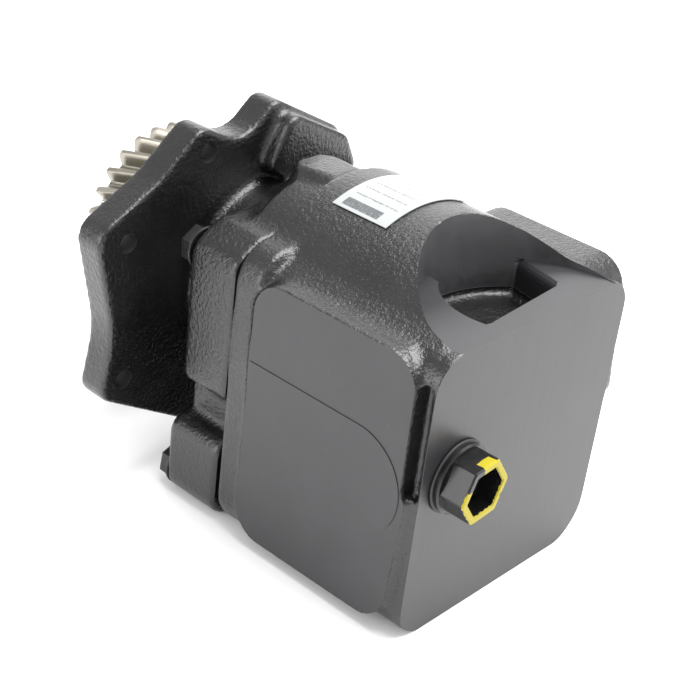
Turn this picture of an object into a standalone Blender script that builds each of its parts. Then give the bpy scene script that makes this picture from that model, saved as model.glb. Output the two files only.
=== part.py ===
"""Axial piston pump: solid source for every separate piece.

Working frame while modelling (millimetres): the shaft runs along Y through x = z = 0, the
machined rear face of the port block is y = 0, +Y points to the drive gear and +Z is up.
ORIGIN is the point of that frame which becomes the row's origin, at the bottom centre.
"""
import math

import bmesh
import bpy
from mathutils import Matrix, Vector

MM = 0.001
ORIGIN = Vector((-1.4, 132.35, -107.5))

# Castings
BLOCK_HALF_W = 75.0          # half width of the square port block
BLOCK_TOP = 48.0             # flat top of the block, above the shaft axis
BLOCK_BOTTOM = -107.5        # underside the pump stands on
BARREL_R = 76.0              # round casing of the rear casting
SEAM_Y = 126.0               # joint plane of the two castings
SEAM_GAP = 0.15              # half the paint-thick gap at the joint
PORT_FACE_Y = 66.0           # inner face the valve plate sits on
CAVITY_R = 58.0
TOP_CUT_R = 61.0             # vertical-axis cut that leaves the plateau
POCKET = [(-29, 12, 6), (34.5, 16, 4), (41, 46, 4), (37, 55, 6), (-8, 56, 8), (-24, 44, 24)]
POCKET_FLOOR = 29.0
BOLT_X, BOLT_Z_TOP, BOLT_Z_LOW = 64.0, 36.0, -96.0
BOLT_R = 6.0
PLUG_X, PLUG_Z, PLUG_Y0 = -49.0, -20.5, -18.3
PLUG_TURN = 0.105
FLANGE_Y0, FLANGE_Y1 = 185.0, 202.0
PILOT_R, PILOT_Y1 = 50.8, 209.0
FLANGE_HOLES = [(-94, 37), (-93, -42), (-43, 74), (93, 8), (84, -46), (-18, -83)]
FLANGE_HOLE_R = 5.5
# corner x, corner z, fillet radius, going round the mounting flange
FLANGE_CORNERS = [(-114, 44.5, 12), (-101, -14, 60), (-108, -49.5, 10), (-20, -99, 12), (10, -86, 24),
                  (40, -93, 12), (100, -54, 12), (98, -18, 40), (113.2, 12, 12), (71, 38, 24),
                  (54, 68, 12), (3, 94, 9), (-19, 74, 20), (-48, 89, 9), (-76, 65, 60)]

# Rotating group
PISTONS = 9
TILT = math.radians(14.0)    # swash angle at rest, full stroke
BALL_R_CIRCLE = 32.0         # ball centres on the swash plane
BORE_CIRCLE = BALL_R_CIRCLE * (1 + math.cos(TILT)) / 2
PIVOT_Y = 128.0              # swash tilt axis, along X through the shaft axis
PISTON_R, BORE_R = 8.0, 8.75
PISTON_LEN = 42.0            # ball centre to tail
BALL_R, SOCKET_R = 5.5, 5.9
BARREL_Y0, BARREL_Y1, BLOCK_R = 70.0, 108.0, 44.0
SWASH_FACE = 9.0             # running face, measured from the ball plane
CRADLE_R = 32.0
ARM_LEN = 76.0
ARM_TIP_R = 8.0
STROKE = 2 * ARM_LEN * math.sin(TILT / 2)

# Shaft line
SHAFT_R = 12.4
GEAR_TEETH, GEAR_TIP_R, GEAR_ROOT_R = 27, 53.0, 45.6
GEAR_Y0, GEAR_Y1 = 229.0, 265.0
HELIX = math.radians(15.0)
GEAR_PHASE = 0.42


def wipe():
    """Empty the file so that only this part is in it."""
    for obj in list(bpy.data.objects):
        bpy.data.objects.remove(obj, do_unlink=True)


def finish_mesh(name, bm, tool=False):
    """Turn a bmesh in working millimetres into an object in row metres."""
    bmesh.ops.recalc_face_normals(bm, faces=bm.faces)
    bm.transform(Matrix.Scale(MM, 4) @ Matrix.Translation(-ORIGIN))
    mesh = bpy.data.meshes.new(name)
    bm.to_mesh(mesh)
    bm.free()
    obj = bpy.data.objects.new(name, mesh)
    bpy.context.scene.collection.objects.link(obj)
    if tool:
        obj.hide_render = True
        obj.display_type = 'WIRE'
    return obj


def add_lathe(bm, profile, segs=48, axis='Y', centre=(0, 0, 0), turn=0.0):
    """Add a closed profile of (along, radius) points turned round an axis."""
    rings = []
    cx, cy, cz = centre
    for along, radius in profile:
        ring = []
        count = 1 if radius < 1e-6 else segs
        for k in range(count):
            a = turn + 2 * math.pi * k / segs
            u, v = radius * math.cos(a), radius * math.sin(a)
            point = {'Y': (u, along, v), 'X': (along, u, v), 'Z': (u, v, along)}[axis]
            ring.append(bm.verts.new((point[0] + cx, point[1] + cy, point[2] + cz)))
        rings.append(ring)
    for first, second in zip(rings, rings[1:] + rings[:1]):
        if len(first) == 1 and len(second) == 1:
            continue
        for k in range(segs):
            n = (k + 1) % segs
            if len(first) == 1:
                bm.faces.new((first[0], second[n], second[k]))
            elif len(second) == 1:
                bm.faces.new((first[k], first[n], second[0]))
            else:
                bm.faces.new((first[k], first[n], second[n], second[k]))


def add_prism(bm, outline, low, high, axis='Y', place=None):
    """Add a straight extrusion of a 2-D outline; outline is (x,z), (y,z) or (x,y)."""
    def at(p, along):
        point = {'Y': (p[0], along, p[1]), 'X': (along, p[0], p[1]), 'Z': (p[0], p[1], along)}[axis]
        return place @ Vector(point) if place else point
    lower = [bm.verts.new(at(p, low)) for p in outline]
    upper = [bm.verts.new(at(p, high)) for p in outline]
    bm.faces.new(lower)
    bm.faces.new(upper)
    for k in range(len(outline)):
        n = (k + 1) % len(outline)
        bm.faces.new((lower[k], lower[n], upper[n], upper[k]))


def rounded(corners, steps=5):
    """Round the corners of a polygon given as (x, y, fillet radius)."""
    points = []
    count = len(corners)
    for k, (x, y, r) in enumerate(corners):
        here = Vector((x, y))
        back = (Vector(corners[k - 1][:2]) - here).normalized()
        ahead = (Vector(corners[(k + 1) % count][:2]) - here).normalized()
        if r <= 0:
            points.append((x, y))
            continue
        half = back.angle(ahead) / 2
        reach = r / math.tan(half)
        centre = here + (back + ahead).normalized() * (r / math.sin(half))
        start, end = here + back * reach - centre, here + ahead * reach - centre
        sweep = start.angle(end)
        turn = 1 if start.x * end.y - start.y * end.x > 0 else -1
        base = math.atan2(start.y, start.x)
        for s in range(steps + 1):
            a = base + turn * sweep * s / steps
            points.append((centre.x + r * math.cos(a), centre.y + r * math.sin(a)))
    return points


def box_corners(x0, x1, y0, y1, r):
    """Four equal corners for rounded()."""
    return [(x0, y0, r), (x1, y0, r), (x1, y1, r), (x0, y1, r)]


def lathe(name, profile, segs=48, axis='Y', centre=(0, 0, 0), tool=False, turn=0.0):
    """One turned object."""
    bm = bmesh.new()
    add_lathe(bm, profile, segs, axis, centre, turn)
    return finish_mesh(name, bm, tool)


def prism(name, outline, low, high, axis='Y', tool=False, place=None):
    """One extruded object."""
    bm = bmesh.new()
    add_prism(bm, outline, low, high, axis, place)
    return finish_mesh(name, bm, tool)


def rod(low, high, r):
    """Profile of a solid cylinder for lathe()."""
    return [(low, 0), (low, r), (high, r), (high, 0)]


def tube(low, high, inner, outer):
    """Profile of a ring for lathe()."""
    return [(low, inner), (low, outer), (high, outer), (high, inner)]


def combine(target, other, operation):
    """Boolean one object with another, keeping the second as a hidden tool."""
    other.hide_render = True
    other.display_type = 'WIRE'
    mod = target.modifiers.new(other.name, 'BOOLEAN')
    mod.operation = operation
    mod.solver = 'EXACT'
    mod.object = other
    return target


def hexagon(across_flats, turn=0.0):
    """Hexagon outline with the given distance across flats."""
    r = across_flats / math.sqrt(3)
    return [(r * math.cos(turn + math.pi * k / 3), r * math.sin(turn + math.pi * k / 3))
            for k in range(6)]


def shifted(outline, dx, dy):
    """Move a 2-D outline."""
    return [(x + dx, y + dy) for x, y in outline]


def kidney(inner, outer, middle, half, steps=8):
    """Curved slot outline in (x, z) between two radii."""
    angles = [math.radians(middle - half + 2 * half * k / steps) for k in range(steps + 1)]
    out = [(outer * math.cos(a), outer * math.sin(a)) for a in angles]
    back = [(inner * math.cos(a), inner * math.sin(a)) for a in reversed(angles)]
    return out + back


def rear_housing():
    """Port block, round casing and side pads, cast as one and bored out."""
    body = prism('rear_housing', rounded([(-BLOCK_HALF_W, BLOCK_BOTTOM, 19), (BLOCK_HALF_W, BLOCK_BOTTOM, 24),
                                          (BLOCK_HALF_W, BLOCK_TOP, 18), (-BLOCK_HALF_W, BLOCK_TOP, 19)]), 0, 112)
    combine(body, lathe('rear_casing', rod(8, SEAM_Y - SEAM_GAP, BARREL_R), 60, turn=0.01), 'UNION')
    combine(body, prism('rear_rim', rounded(box_corners(-76.5, 76.5, BLOCK_BOTTOM, 54, 20)), 110,
                        SEAM_Y - SEAM_GAP), 'UNION')
    combine(body, prism('pad_left', rounded([(10, -101.5, 17), (111, -101.5, 17), (111, 45.5, 17), (9.5, 45.5, 17), (5.5, -30, 40)]),
                        -78.5, -60, 'X'), 'UNION')
    combine(body, prism('pad_right', rounded([(1.5, -24, 5), (98, -24, 14), (98, 51, 14), (7.5, 51, 18)]), 60, 82, 'X'), 'UNION')
    top = bmesh.new()
    add_lathe(top, rod(BLOCK_TOP, 90, TOP_CUT_R), 56, 'Z', turn=0.03)
    combine(body, finish_mesh('plateau_cut', top, True), 'DIFFERENCE')
    combine(body, prism('pocket_cut', rounded(POCKET), POCKET_FLOOR, BLOCK_TOP + 1, 'Z', True), 'DIFFERENCE')
    wells = bmesh.new()
    add_lathe(wells, rod(PORT_FACE_Y, SEAM_Y + 1, CAVITY_R), 48, turn=0.023)
    combine(body, finish_mesh('kit_cavity', wells, True), 'DIFFERENCE')
    drill = bmesh.new()
    add_lathe(drill, rod(38, PORT_FACE_Y + 1, 16.3), 32, turn=0.05)
    for x in (-BOLT_X, BOLT_X):
        for z in (BOLT_Z_TOP, BOLT_Z_LOW):
            add_lathe(drill, rod(78, SEAM_Y + 1, BOLT_R + 0.4), 12, 'Y', (x, 0, z), 0.04)
    add_lathe(drill, rod(70, SEAM_Y + 1, 15.0), 32, 'Y', (0, 0, -ARM_LEN), 0.06)
    add_lathe(drill, rod(-1, 24, 10.3), 28, 'Y', (PLUG_X, 0, PLUG_Z), 0.02)
    add_lathe(drill, rod(118, SEAM_Y + 1, 3.3), 12, 'Y', (-40, 0, -100), 0.03)
    add_lathe(drill, rod(118, SEAM_Y + 1, 3.3), 12, 'Y', (40, 0, -100), 0.03)
    combine(body, finish_mesh('rear_drillings', drill, True), 'DIFFERENCE')
    combine(body, prism('arm_slot_rear', [(-12, -84), (12, -84), (12, -40), (-12, -40)], 104, SEAM_Y + 1,
                        'Y', True), 'DIFFERENCE')
    kidneys = bmesh.new()
    add_prism(kidneys, kidney(27, 36, 180, 40, 5), 46, PORT_FACE_Y + 1)
    add_prism(kidneys, kidney(27, 36, 0, 40, 5), 40, PORT_FACE_Y + 1)
    combine(body, finish_mesh('port_kidneys', kidneys, True), 'DIFFERENCE')
    ports = bmesh.new()
    add_lathe(ports, rod(31, 84, 10.5), 28, 'X', (0, 44, 0), 0.07)
    combine(body, finish_mesh('pressure_port', ports, True), 'DIFFERENCE')
    suction = bmesh.new()
    add_lathe(suction, rod(BLOCK_BOTTOM - 1, -4, 12.5), 28, 'Z', (-36, 49, 0), 0.05)
    combine(body, finish_mesh('suction_port', suction, True), 'DIFFERENCE')
    groove = bmesh.new()
    add_belt(groove, 63.4, 24.0, -ARM_LEN, SEAM_Y - 0.8, 1.7, 40, 6)
    combine(body, finish_mesh('seal_groove', groove, True), 'DIFFERENCE')
    return body


def add_belt(bm, upper_r, lower_r, lower_z, y, wire, count=96, sides=8):
    """Add a round wire laid like a belt round the kit cavity and the control chamber."""
    lean = math.asin((upper_r - lower_r) / -lower_z)
    path = []
    split = int(count * 0.7)
    for k in range(split):
        a = -lean + (math.pi + 2 * lean) * k / (split - 1)
        path.append((upper_r * math.cos(a), upper_r * math.sin(a)))
    rest = count - split
    for k in range(rest):
        a = math.pi + lean + (math.pi - 2 * lean) * k / (rest - 1)
        path.append((lower_r * math.cos(a), lower_z + lower_r * math.sin(a)))
    rings = []
    for k, (x, z) in enumerate(path):
        px, pz = path[k - 1]
        nx, nz = path[(k + 1) % len(path)]
        side = Vector((nz - pz, 0, -(nx - px))).normalized()
        ring = []
        for s in range(sides):
            a = 2 * math.pi * s / sides
            offset = side * (wire * math.cos(a)) + Vector((0, wire * math.sin(a), 0))
            ring.append(bm.verts.new(Vector((x, y, z)) + offset))
        rings.append(ring)
    for k in range(len(rings)):
        one, two = rings[k], rings[(k + 1) % len(rings)]
        for s in range(sides):
            n = (s + 1) % sides
            bm.faces.new((one[s], one[n], two[n], two[s]))


def front_housing():
    """Front casting: bolt ears, swash cradle, bearing bore and mounting flange."""
    y0 = SEAM_Y + SEAM_GAP
    body = lathe('front_housing', [(y0, 0), (y0, 71), (146, 70), (158, 61.5), (168, 54), (176, 50), (187, 50),
                                   (187, 0)], 48, turn=0.013)
    combine(body, prism('flange_plate', rounded(FLANGE_CORNERS, 4), FLANGE_Y0, FLANGE_Y1), 'UNION')
    combine(body, prism('flange_thick', rounded([(-8, 60, 6), (6, 89, 8), (51, 67, 11), (62, 46, 8), (40, 30, 6)]),
                        174, FLANGE_Y0 + 1), 'UNION')
    combine(body, lathe('pilot', rod(FLANGE_Y1 - 1, PILOT_Y1, PILOT_R), 48, turn=0.02), 'UNION')
    combine(body, prism('ear_bank_top', rounded([(-74, -38, 8), (74, -38, 8), (74, 42, 12), (56, 52, 10),
                                                 (-56, 52, 10), (-74, 42, 12)]), 129.5, 161), 'UNION')
    combine(body, prism('ear_bank_low', rounded([(-76, BLOCK_BOTTOM, 13), (76, BLOCK_BOTTOM, 13), (76, -60, 10), (-76, -60, 10)]),
                        129.5, 166), 'UNION')
    combine(body, prism('sump', rounded([(-60, -107, 20), (60, -107, 20), (66, -20, 10), (-66, -20, 10)]),
                        y0, 164), 'UNION')
    combine(body, prism('ear_root', rounded([(-58, -20, 4), (58, -20, 4), (52, 49, 8), (-52, 49, 8)]),
                        y0, 140), 'UNION')
    combine(body, lathe('control_boss', rod(150, 170, 19), 28, 'Y', (0, 0, -ARM_LEN), turn=0.02), 'UNION')
    cut = bmesh.new()
    add_lathe(cut, rod(y0 - 1, 157, CAVITY_R), 48, turn=0.031)
    combine(body, finish_mesh('swash_cavity', cut, True), 'DIFFERENCE')
    saddle = bmesh.new()
    add_lathe(saddle, rod(-44.5, 44.5, CRADLE_R + 2.9), 48, 'X', (0, PIVOT_Y, 0), 0.02)
    combine(body, finish_mesh('saddle_cut', saddle, True), 'DIFFERENCE')
    bore = bmesh.new()
    add_lathe(bore, [(150, 0), (150, 22), (170.5, 22), (170.5, 31.3), (188.5, 31.3), (188.5, 24.3), (PILOT_Y1 + 1, 24.3),
                     (PILOT_Y1 + 1, 0)], 36, turn=0.04)
    combine(body, finish_mesh('shaft_bore', bore, True), 'DIFFERENCE')
    drill = bmesh.new()
    for x in (-BOLT_X, BOLT_X):
        for z, end in ((BOLT_Z_TOP, 162), (BOLT_Z_LOW, 167)):
            add_lathe(drill, rod(y0 - 1, end, BOLT_R + 0.6), 12, 'Y', (x, 0, z), 0.05)
    for x, z in FLANGE_HOLES:
        add_lathe(drill, rod(FLANGE_Y0 - 1, FLANGE_Y1 + 1, FLANGE_HOLE_R), 16, 'Y', (x, 0, z), 0.05)
    add_lathe(drill, rod(y0 - 1, 132, 3.3), 12, 'Y', (-40, 0, -100), 0.05)
    add_lathe(drill, rod(y0 - 1, 132, 3.3), 12, 'Y', (40, 0, -100), 0.05)
    combine(body, finish_mesh('front_drillings', drill, True), 'DIFFERENCE')
    chamber = bmesh.new()
    add_lathe(chamber, rod(y0 - 1, 164, 13.4), 28, 'Y', (0, 0, -ARM_LEN), 0.07)
    combine(body, finish_mesh('control_bore', chamber, True), 'DIFFERENCE')
    combine(body, prism('arm_slot_front', [(-9.5, -85), (9.5, -85), (9.5, -40), (-9.5, -40)], y0 - 1, 147,
                        'Y', True), 'DIFFERENCE')
    return body


def place_swash():
    """Matrix from swash axes (x, along the normal, up the plane) to the working frame."""
    return Matrix.Translation((0, PIVOT_Y, 0)) @ Matrix.Rotation(TILT, 4, 'X')


def ball_centre(k):
    """Working-frame ball centre of piston k at rest."""
    a = 2 * math.pi * k / PISTONS + math.pi / 2
    return place_swash() @ Vector((BALL_R_CIRCLE * math.cos(a), 0, BALL_R_CIRCLE * math.sin(a))), a


def arc_profile(centre, r, start, end, steps):
    """Points (along, radius) on a circle round a centre on the axis, angles from +along."""
    return [(centre + r * math.cos(math.radians(start + (end - start) * k / steps)),
             r * math.sin(math.radians(start + (end - start) * k / steps))) for k in range(steps + 1)]


def piston(k):
    """Ball-ended piston, parallel to the shaft."""
    centre, _ = ball_centre(k)
    neck = 3.6
    tail = -PISTON_LEN
    start = math.degrees(math.asin(neck / BALL_R))
    ball = [(a, r) for a, r in arc_profile(0, BALL_R, 0, 180 - start, 6)]
    ball[0] = (BALL_R, 0)
    profile = ball + [(-8.0, neck), (-9.5, PISTON_R - 1.2), (-10.7, PISTON_R), (tail, PISTON_R), (tail, 4.5), (tail + 14, 4.5),
                      (tail + 16, 0)]
    lathe('piston_%d' % (k + 1), profile, 12, 'Y', centre)


def slipper(k):
    """Bearing shoe swaged round one piston ball."""
    centre, _ = ball_centre(k)
    foot_r, neck_r = 10.2, 7.4
    opening = 62.0
    socket = arc_profile(0, SOCKET_R, 180 - opening, 0, 5)
    socket[-1] = (SOCKET_R, 0)
    face = SWASH_FACE - 0.3
    profile = [(socket[0][0], socket[0][1]), (-3.4, neck_r - 0.7), (-2.6, neck_r), (face - 3.0, neck_r),
               (face - 3.0, foot_r), (face, foot_r), (face, 0)]
    profile = profile + list(reversed(socket))[0:1] + list(reversed(socket))[1:-1]
    bm = bmesh.new()
    add_lathe(bm, profile, 14)
    turn = Matrix.Translation(centre) @ Matrix.Rotation(TILT, 4, 'X')
    bm.transform(turn)
    finish_mesh('slipper_%d' % (k + 1), bm)


def retainer():
    """Plate that holds the nine shoes down on the swash face."""
    body_bm = bmesh.new()
    low, high = 2.2, SWASH_FACE - 0.3 - 3.0 - 0.3
    guide = 18.3
    inner = [(a, math.sqrt(guide * guide - a * a)) for a in (high, (low + high) / 2, low)]
    add_lathe(body_bm, [(low, 42.0), (high, 42.0)] + inner, 40)
    body_bm.transform(place_swash())
    body = finish_mesh('retainer_plate', body_bm)
    holes = bmesh.new()
    for k in range(PISTONS):
        a = 2 * math.pi * k / PISTONS + math.pi / 2
        add_lathe(holes, rod(0, 9, 7.8), 14, 'Y',
                  (BALL_R_CIRCLE * math.cos(a), 0, BALL_R_CIRCLE * math.sin(a)), 0.03)
    holes.transform(place_swash())
    combine(body, finish_mesh('retainer_holes', holes, True), 'DIFFERENCE')


def swash():
    """Tilting swash plate with its two cradle runners and lever arm."""
    disc = bmesh.new()
    add_lathe(disc, tube(SWASH_FACE, 16.0, 18.0, 44.0), 48, turn=0.02)
    disc.transform(place_swash())
    body = finish_mesh('swash_plate', disc)
    for side, x0, x1 in (('left', -42, -21), ('right', 21, 42)):
        arc = [(CRADLE_R * math.cos(a), CRADLE_R * math.sin(a))
               for a in [math.radians(-62 + 124 * k / 20) for k in range(21)]]
        runner = prism('runner_' + side, arc, x0, x1, 'X', True, place_swash())
        combine(body, runner, 'UNION')
    tip_v, tip_u = -ARM_LEN * math.sin(TILT / 2), -ARM_LEN * math.cos(TILT / 2)
    arm = [(9.3, -37), (15.7, -37), (15.7, -43), (6, -52), (-1.6, -61.5)]
    arm += [(tip_v + ARM_TIP_R * math.cos(a), tip_u + ARM_TIP_R * math.sin(a))
            for a in [math.radians(10 - 190 * k / 14) for k in range(15)]]
    arm += [(-13, -62), (-2, -46), (9.3, -44.5)]
    combine(body, prism('lever_arm', arm, -6.5, 6.5, 'X', True, place_swash()), 'UNION')


def cradle(side, x0, x1):
    """Curved bearing strip between a runner and the front casting."""
    inner, outer = CRADLE_R + 0.3, CRADLE_R + 2.5
    angles = [math.radians(-33 + 66 * k / 12) for k in range(13)]
    out = [(PIVOT_Y + outer * math.cos(a), outer * math.sin(a)) for a in angles]
    back = [(PIVOT_Y + inner * math.cos(a), inner * math.sin(a)) for a in reversed(angles)]
    prism('cradle_bearing_' + side, out + back, x0, x1, 'X')


def cylinder_barrel():
    """Rotating cylinder block with nine bores."""
    body = lathe('cylinder_barrel', [(BARREL_Y0, 12.7), (BARREL_Y0, BLOCK_R), (BARREL_Y1 - 2, BLOCK_R),
                                     (BARREL_Y1, BLOCK_R - 2), (BARREL_Y1, 18.5),
                                     (88, 18.5), (88, 12.7)], 40)
    bores = bmesh.new()
    for k in range(PISTONS):
        a = 2 * math.pi * k / PISTONS + math.pi / 2
        centre = (BORE_CIRCLE * math.cos(a), 0, BORE_CIRCLE * math.sin(a))
        add_lathe(bores, [(BARREL_Y0 - 1, 0), (BARREL_Y0 - 1, 4), (75, 4), (75, BORE_R), (BARREL_Y1 + 1, BORE_R),
                          (BARREL_Y1 + 1, 0)], 14, 'Y', centre, 0.02)
    combine(body, finish_mesh('barrel_bores', bores, True), 'DIFFERENCE')


def coil(name, y0, y1, mean_r, wire, turns, centre=(0, 0), per_turn=12, sides=5):
    """Compression spring with closed ends."""
    bm = bmesh.new()
    total = int(turns * per_turn)
    rings = []
    for k in range(total + 1):
        t = k / total
        ease = min(1.0, max(0.0, (t - 0.08) / 0.84))
        y = y0 + wire + (y1 - y0 - 2 * wire) * ease
        a = 2 * math.pi * turns * t
        out = Vector((math.cos(a), 0, math.sin(a)))
        mid = Vector((centre[0], y, centre[1])) + out * mean_r
        rings.append([bm.verts.new(mid + out * wire * math.cos(2 * math.pi * s / sides)
                                   + Vector((0, wire * math.sin(2 * math.pi * s / sides), 0)))
                      for s in range(sides)])
    for one, two in zip(rings, rings[1:]):
        for s in range(sides):
            n = (s + 1) % sides
            bm.faces.new((one[s], one[n], two[n], two[s]))
    bm.faces.new(rings[0])
    bm.faces.new(rings[-1])
    finish_mesh(name, bm)


def drive_gear():
    """Helical gear keyed to the shaft nose."""
    bm = bmesh.new()
    pitch = 2 * math.pi / GEAR_TEETH
    shape = [(-0.38, GEAR_ROOT_R), (-0.23, 49.4), (-0.10, GEAR_TIP_R), (0.10, GEAR_TIP_R), (0.23, 49.4),
             (0.38, GEAR_ROOT_R)]
    layers = 3
    rings = []

    def ring(y, scale=None, radius=None):
        twist = math.tan(HELIX) * (y - GEAR_Y1) / 49.5
        verts = []
        for tooth in range(GEAR_TEETH):
            for f, r in shape:
                a = (tooth + f + GEAR_PHASE) * pitch
                rr, aa = (radius, a) if radius else (r, a + twist)
                verts.append(bm.verts.new((rr * math.cos(aa), y, rr * math.sin(aa))))
        return verts
    rings.append(ring(GEAR_Y0, radius=14.8))
    for k in range(layers):
        rings.append(ring(GEAR_Y0 + (GEAR_Y1 - GEAR_Y0) * k / (layers - 1)))
    rings.append(ring(GEAR_Y1, radius=14.8))
    for one, two in zip(rings, rings[1:] + rings[:1]):
        for k in range(len(one)):
            n = (k + 1) % len(one)
            bm.faces.new((one[k], one[n], two[n], two[k]))
    body = finish_mesh('drive_gear', bm)
    keyway = prism('gear_keyway', [(-4.3, 12), (4.3, 12), (4.3, 18.4), (-4.3, 18.4)], GEAR_Y0 - 1, GEAR_Y1 + 1,
                   'Y', True)
    combine(body, keyway, 'DIFFERENCE')


def drive_shaft():
    """Main shaft with shoulder, bearing seat, gear seat and threaded nose."""
    body = lathe('drive_shaft', [(41, 0), (41, 11.4), (42, SHAFT_R), (150, SHAFT_R), (150, 17.5), (169.8, 17.5),
                                 (169.8, 15.0), (214, 15.0), (214, 18.5), (228.6, 18.5), (228.6, 14.5),
                                 (265.6, 14.5), (265.6, 9.8), (281, 9.8), (283, 8.3), (283, 0)], 28)
    combine(body, prism('shaft_keyway', [(-4.3, 11), (4.3, 11), (4.3, 16), (-4.3, 16)], 234, 262, 'Y', True),
            'DIFFERENCE')


def front_bearing():
    """Outer ring, roller set and inner ring of the front bearing."""
    lathe('bearing_outer_ring', tube(171, 188, 26.4, 31.0), 32)
    lathe('bearing_inner_ring', tube(171, 188, 15.3, 20.0), 32)
    bm = bmesh.new()
    count, per = 12, 4
    rows = []
    for y, shrink in ((172, 0.0), (187, 0.0)):
        for wave, base in ((2.2, 23.9), (-2.2, 22.5)):
            ring = []
            for k in range(count * per):
                a = 2 * math.pi * k / (count * per)
                bump = max(0.0, math.cos(count * a)) ** 0.5
                r = base + wave * bump
                ring.append(bm.verts.new((r * math.cos(a), y, r * math.sin(a))))
            rows.append(ring)
    for i, j in ((0, 1), (1, 3), (3, 2), (2, 0)):
        for k in range(count * per):
            n = (k + 1) % (count * per)
            bm.faces.new((rows[i][k], rows[i][n], rows[j][n], rows[j][k]))
    finish_mesh('bearing_rollers', bm)


def hardware():
    """Housing bolts, dowels, plug, seals and label."""
    for index, (x, z, seat) in enumerate(((-BOLT_X, BOLT_Z_TOP, 161), (BOLT_X, BOLT_Z_TOP, 161),
                                          (-BOLT_X, BOLT_Z_LOW, 166), (BOLT_X, BOLT_Z_LOW, 166))):
        name = 'housing_bolt_%d' % (index + 1)
        low = seat + 0.3
        bolt = lathe(name, [(84, 0), (84, 5), (85, BOLT_R), (low, BOLT_R), (low, 11.5), (low + 1.6, 11.5),
                            (low + 1.6, 0)], 16, 'Y', (x, 0, z))
        combine(bolt, prism(name + '_hex', shifted(hexagon(18), x, z), low + 1.2, low + 9.0, 'Y', True), 'UNION')
    for name, x in (('dowel_1', -40), ('dowel_2', 40)):
        lathe(name, [(119, 0), (119, 2.4), (119.6, 2.9), (130.8, 2.9), (131.4, 2.4), (131.4, 0)], 12, 'Y',
              (x, 0, -100))
    ring = bmesh.new()
    add_belt(ring, 63.4, 24.0, -ARM_LEN, SEAM_Y - 1.1, 1.0, 40, 5)
    finish_mesh('housing_seal', ring)
    plug = lathe('rear_plug', [(20, 0), (20, 9.2), (19, 10.0), (0.3, 10.0), (-1.9, 10.0), (-1.9, 18.5), (-4.4, 18.5),
                               (-4.8, 17.2), (-4.8, 0)], 28, 'Y', (PLUG_X, 0, PLUG_Z))
    combine(plug, prism('plug_hex', shifted(hexagon(30, PLUG_TURN), PLUG_X, PLUG_Z), PLUG_Y0, -4.0, 'Y', True), 'UNION')
    combine(plug, prism('plug_socket', shifted(hexagon(22.5, PLUG_TURN), PLUG_X, PLUG_Z), PLUG_Y0 - 1, -7.0, 'Y', True), 'DIFFERENCE')
    lathe('plug_seal', tube(-1.6, -0.3, 10.5, 19.4), 28, 'Y', (PLUG_X, 0, PLUG_Z))
    label_r = BARREL_R + 0.3
    arc = [math.radians(62 + 50 * k / 16) for k in range(17)]
    outer = [((label_r + 0.5) * math.cos(a), (label_r + 0.5) * math.sin(a)) for a in arc]
    inner = [(label_r * math.cos(a), label_r * math.sin(a)) for a in reversed(arc)]
    prism('name_label', outer + inner, 77, 112)
    lathe('shaft_seal', [(189.3, 15.6), (189.3, 18), (191, 18), (191, 23.9), (198, 23.9), (198, 15.5), (196, 15.3)],
          32)
    angles = [math.radians(25 + 310 * k / 24) for k in range(25)]
    outer = [(24.0 * math.cos(a), 24.0 * math.sin(a)) for a in angles]
    inner = [(21.0 * math.cos(a), 21.0 * math.sin(a)) for a in reversed(angles)]
    prism('seal_circlip', outer + inner, 199, 201)
    lathe('gear_washer', tube(265.9, 268.6, 10.4, 20), 28)
    nut = prism('gear_nut', hexagon(32, 0.1), 268.9, 280)
    combine(nut, lathe('nut_bore', rod(268, 281, 10.3), 24, 'Y', (0, 0, 0), True), 'DIFFERENCE')
    prism('gear_key', [(-4, 11.3), (4, 11.3), (4, 18.1), (-4, 18.1)], 234.3, 261.7)


def kit():
    """Rotating group, swash and control pieces."""
    cylinder_barrel()
    for k in range(PISTONS):
        piston(k)
        slipper(k)
    retainer()
    swash()
    cradle('left', -42, -22)
    cradle('right', 22, 42)
    guide = 18.0
    bore = 12.7
    low, high = -12.0, 6.0
    count = 6
    profile = []
    for k in range(count + 1):
        v = low + (high - low) * k / count
        profile.append((PIVOT_Y + v, math.sqrt(guide * guide - v * v)))
    lathe('ball_guide', [(PIVOT_Y + low, bore)] + profile + [(PIVOT_Y + high, bore)], 32)
    coil('barrel_spring', 88.3, 115.7, 15.4, 1.3, 4.5)
    plate = lathe('valve_plate', tube(66.3, 69.7, 16.5, 43.5), 32)
    ports = bmesh.new()
    for middle in (0, 180):
        add_prism(ports, kidney(28, 35, middle, 62, 7), 65, 71)
    combine(plate, finish_mesh('valve_ports', ports, True), 'DIFFERENCE')
    lathe('rear_bushing', tube(42, 62, 12.7, 16.0), 32)
    tip_y = PIVOT_Y + ARM_LEN * math.sin(TILT / 2)
    seat_face = tip_y - ARM_TIP_R - 0.3
    lathe('bias_spring_seat', [(seat_face, 0), (seat_face, 12.8), (seat_face - 5, 12.8), (seat_face - 5, 8.4),
                               (seat_face - 12, 7.6), (seat_face - 12, 0)], 28, 'Y', (0, 0, -ARM_LEN))
    coil('bias_spring', 70.4, seat_face - 5.3, 10.8, 1.6, 6.5, (0, -ARM_LEN))
    piston_face = tip_y + ARM_TIP_R + 0.3
    lathe('control_piston', [(piston_face, 0), (piston_face, 12), (piston_face + 1, 13), (piston_face + 16, 13),
                             (piston_face + 17, 12), (piston_face + 17, 0)], 32, 'Y', (0, 0, -ARM_LEN))


wipe()
rear_housing()
front_housing()
hardware()
drive_shaft()
drive_gear()
front_bearing()
kit()
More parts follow.
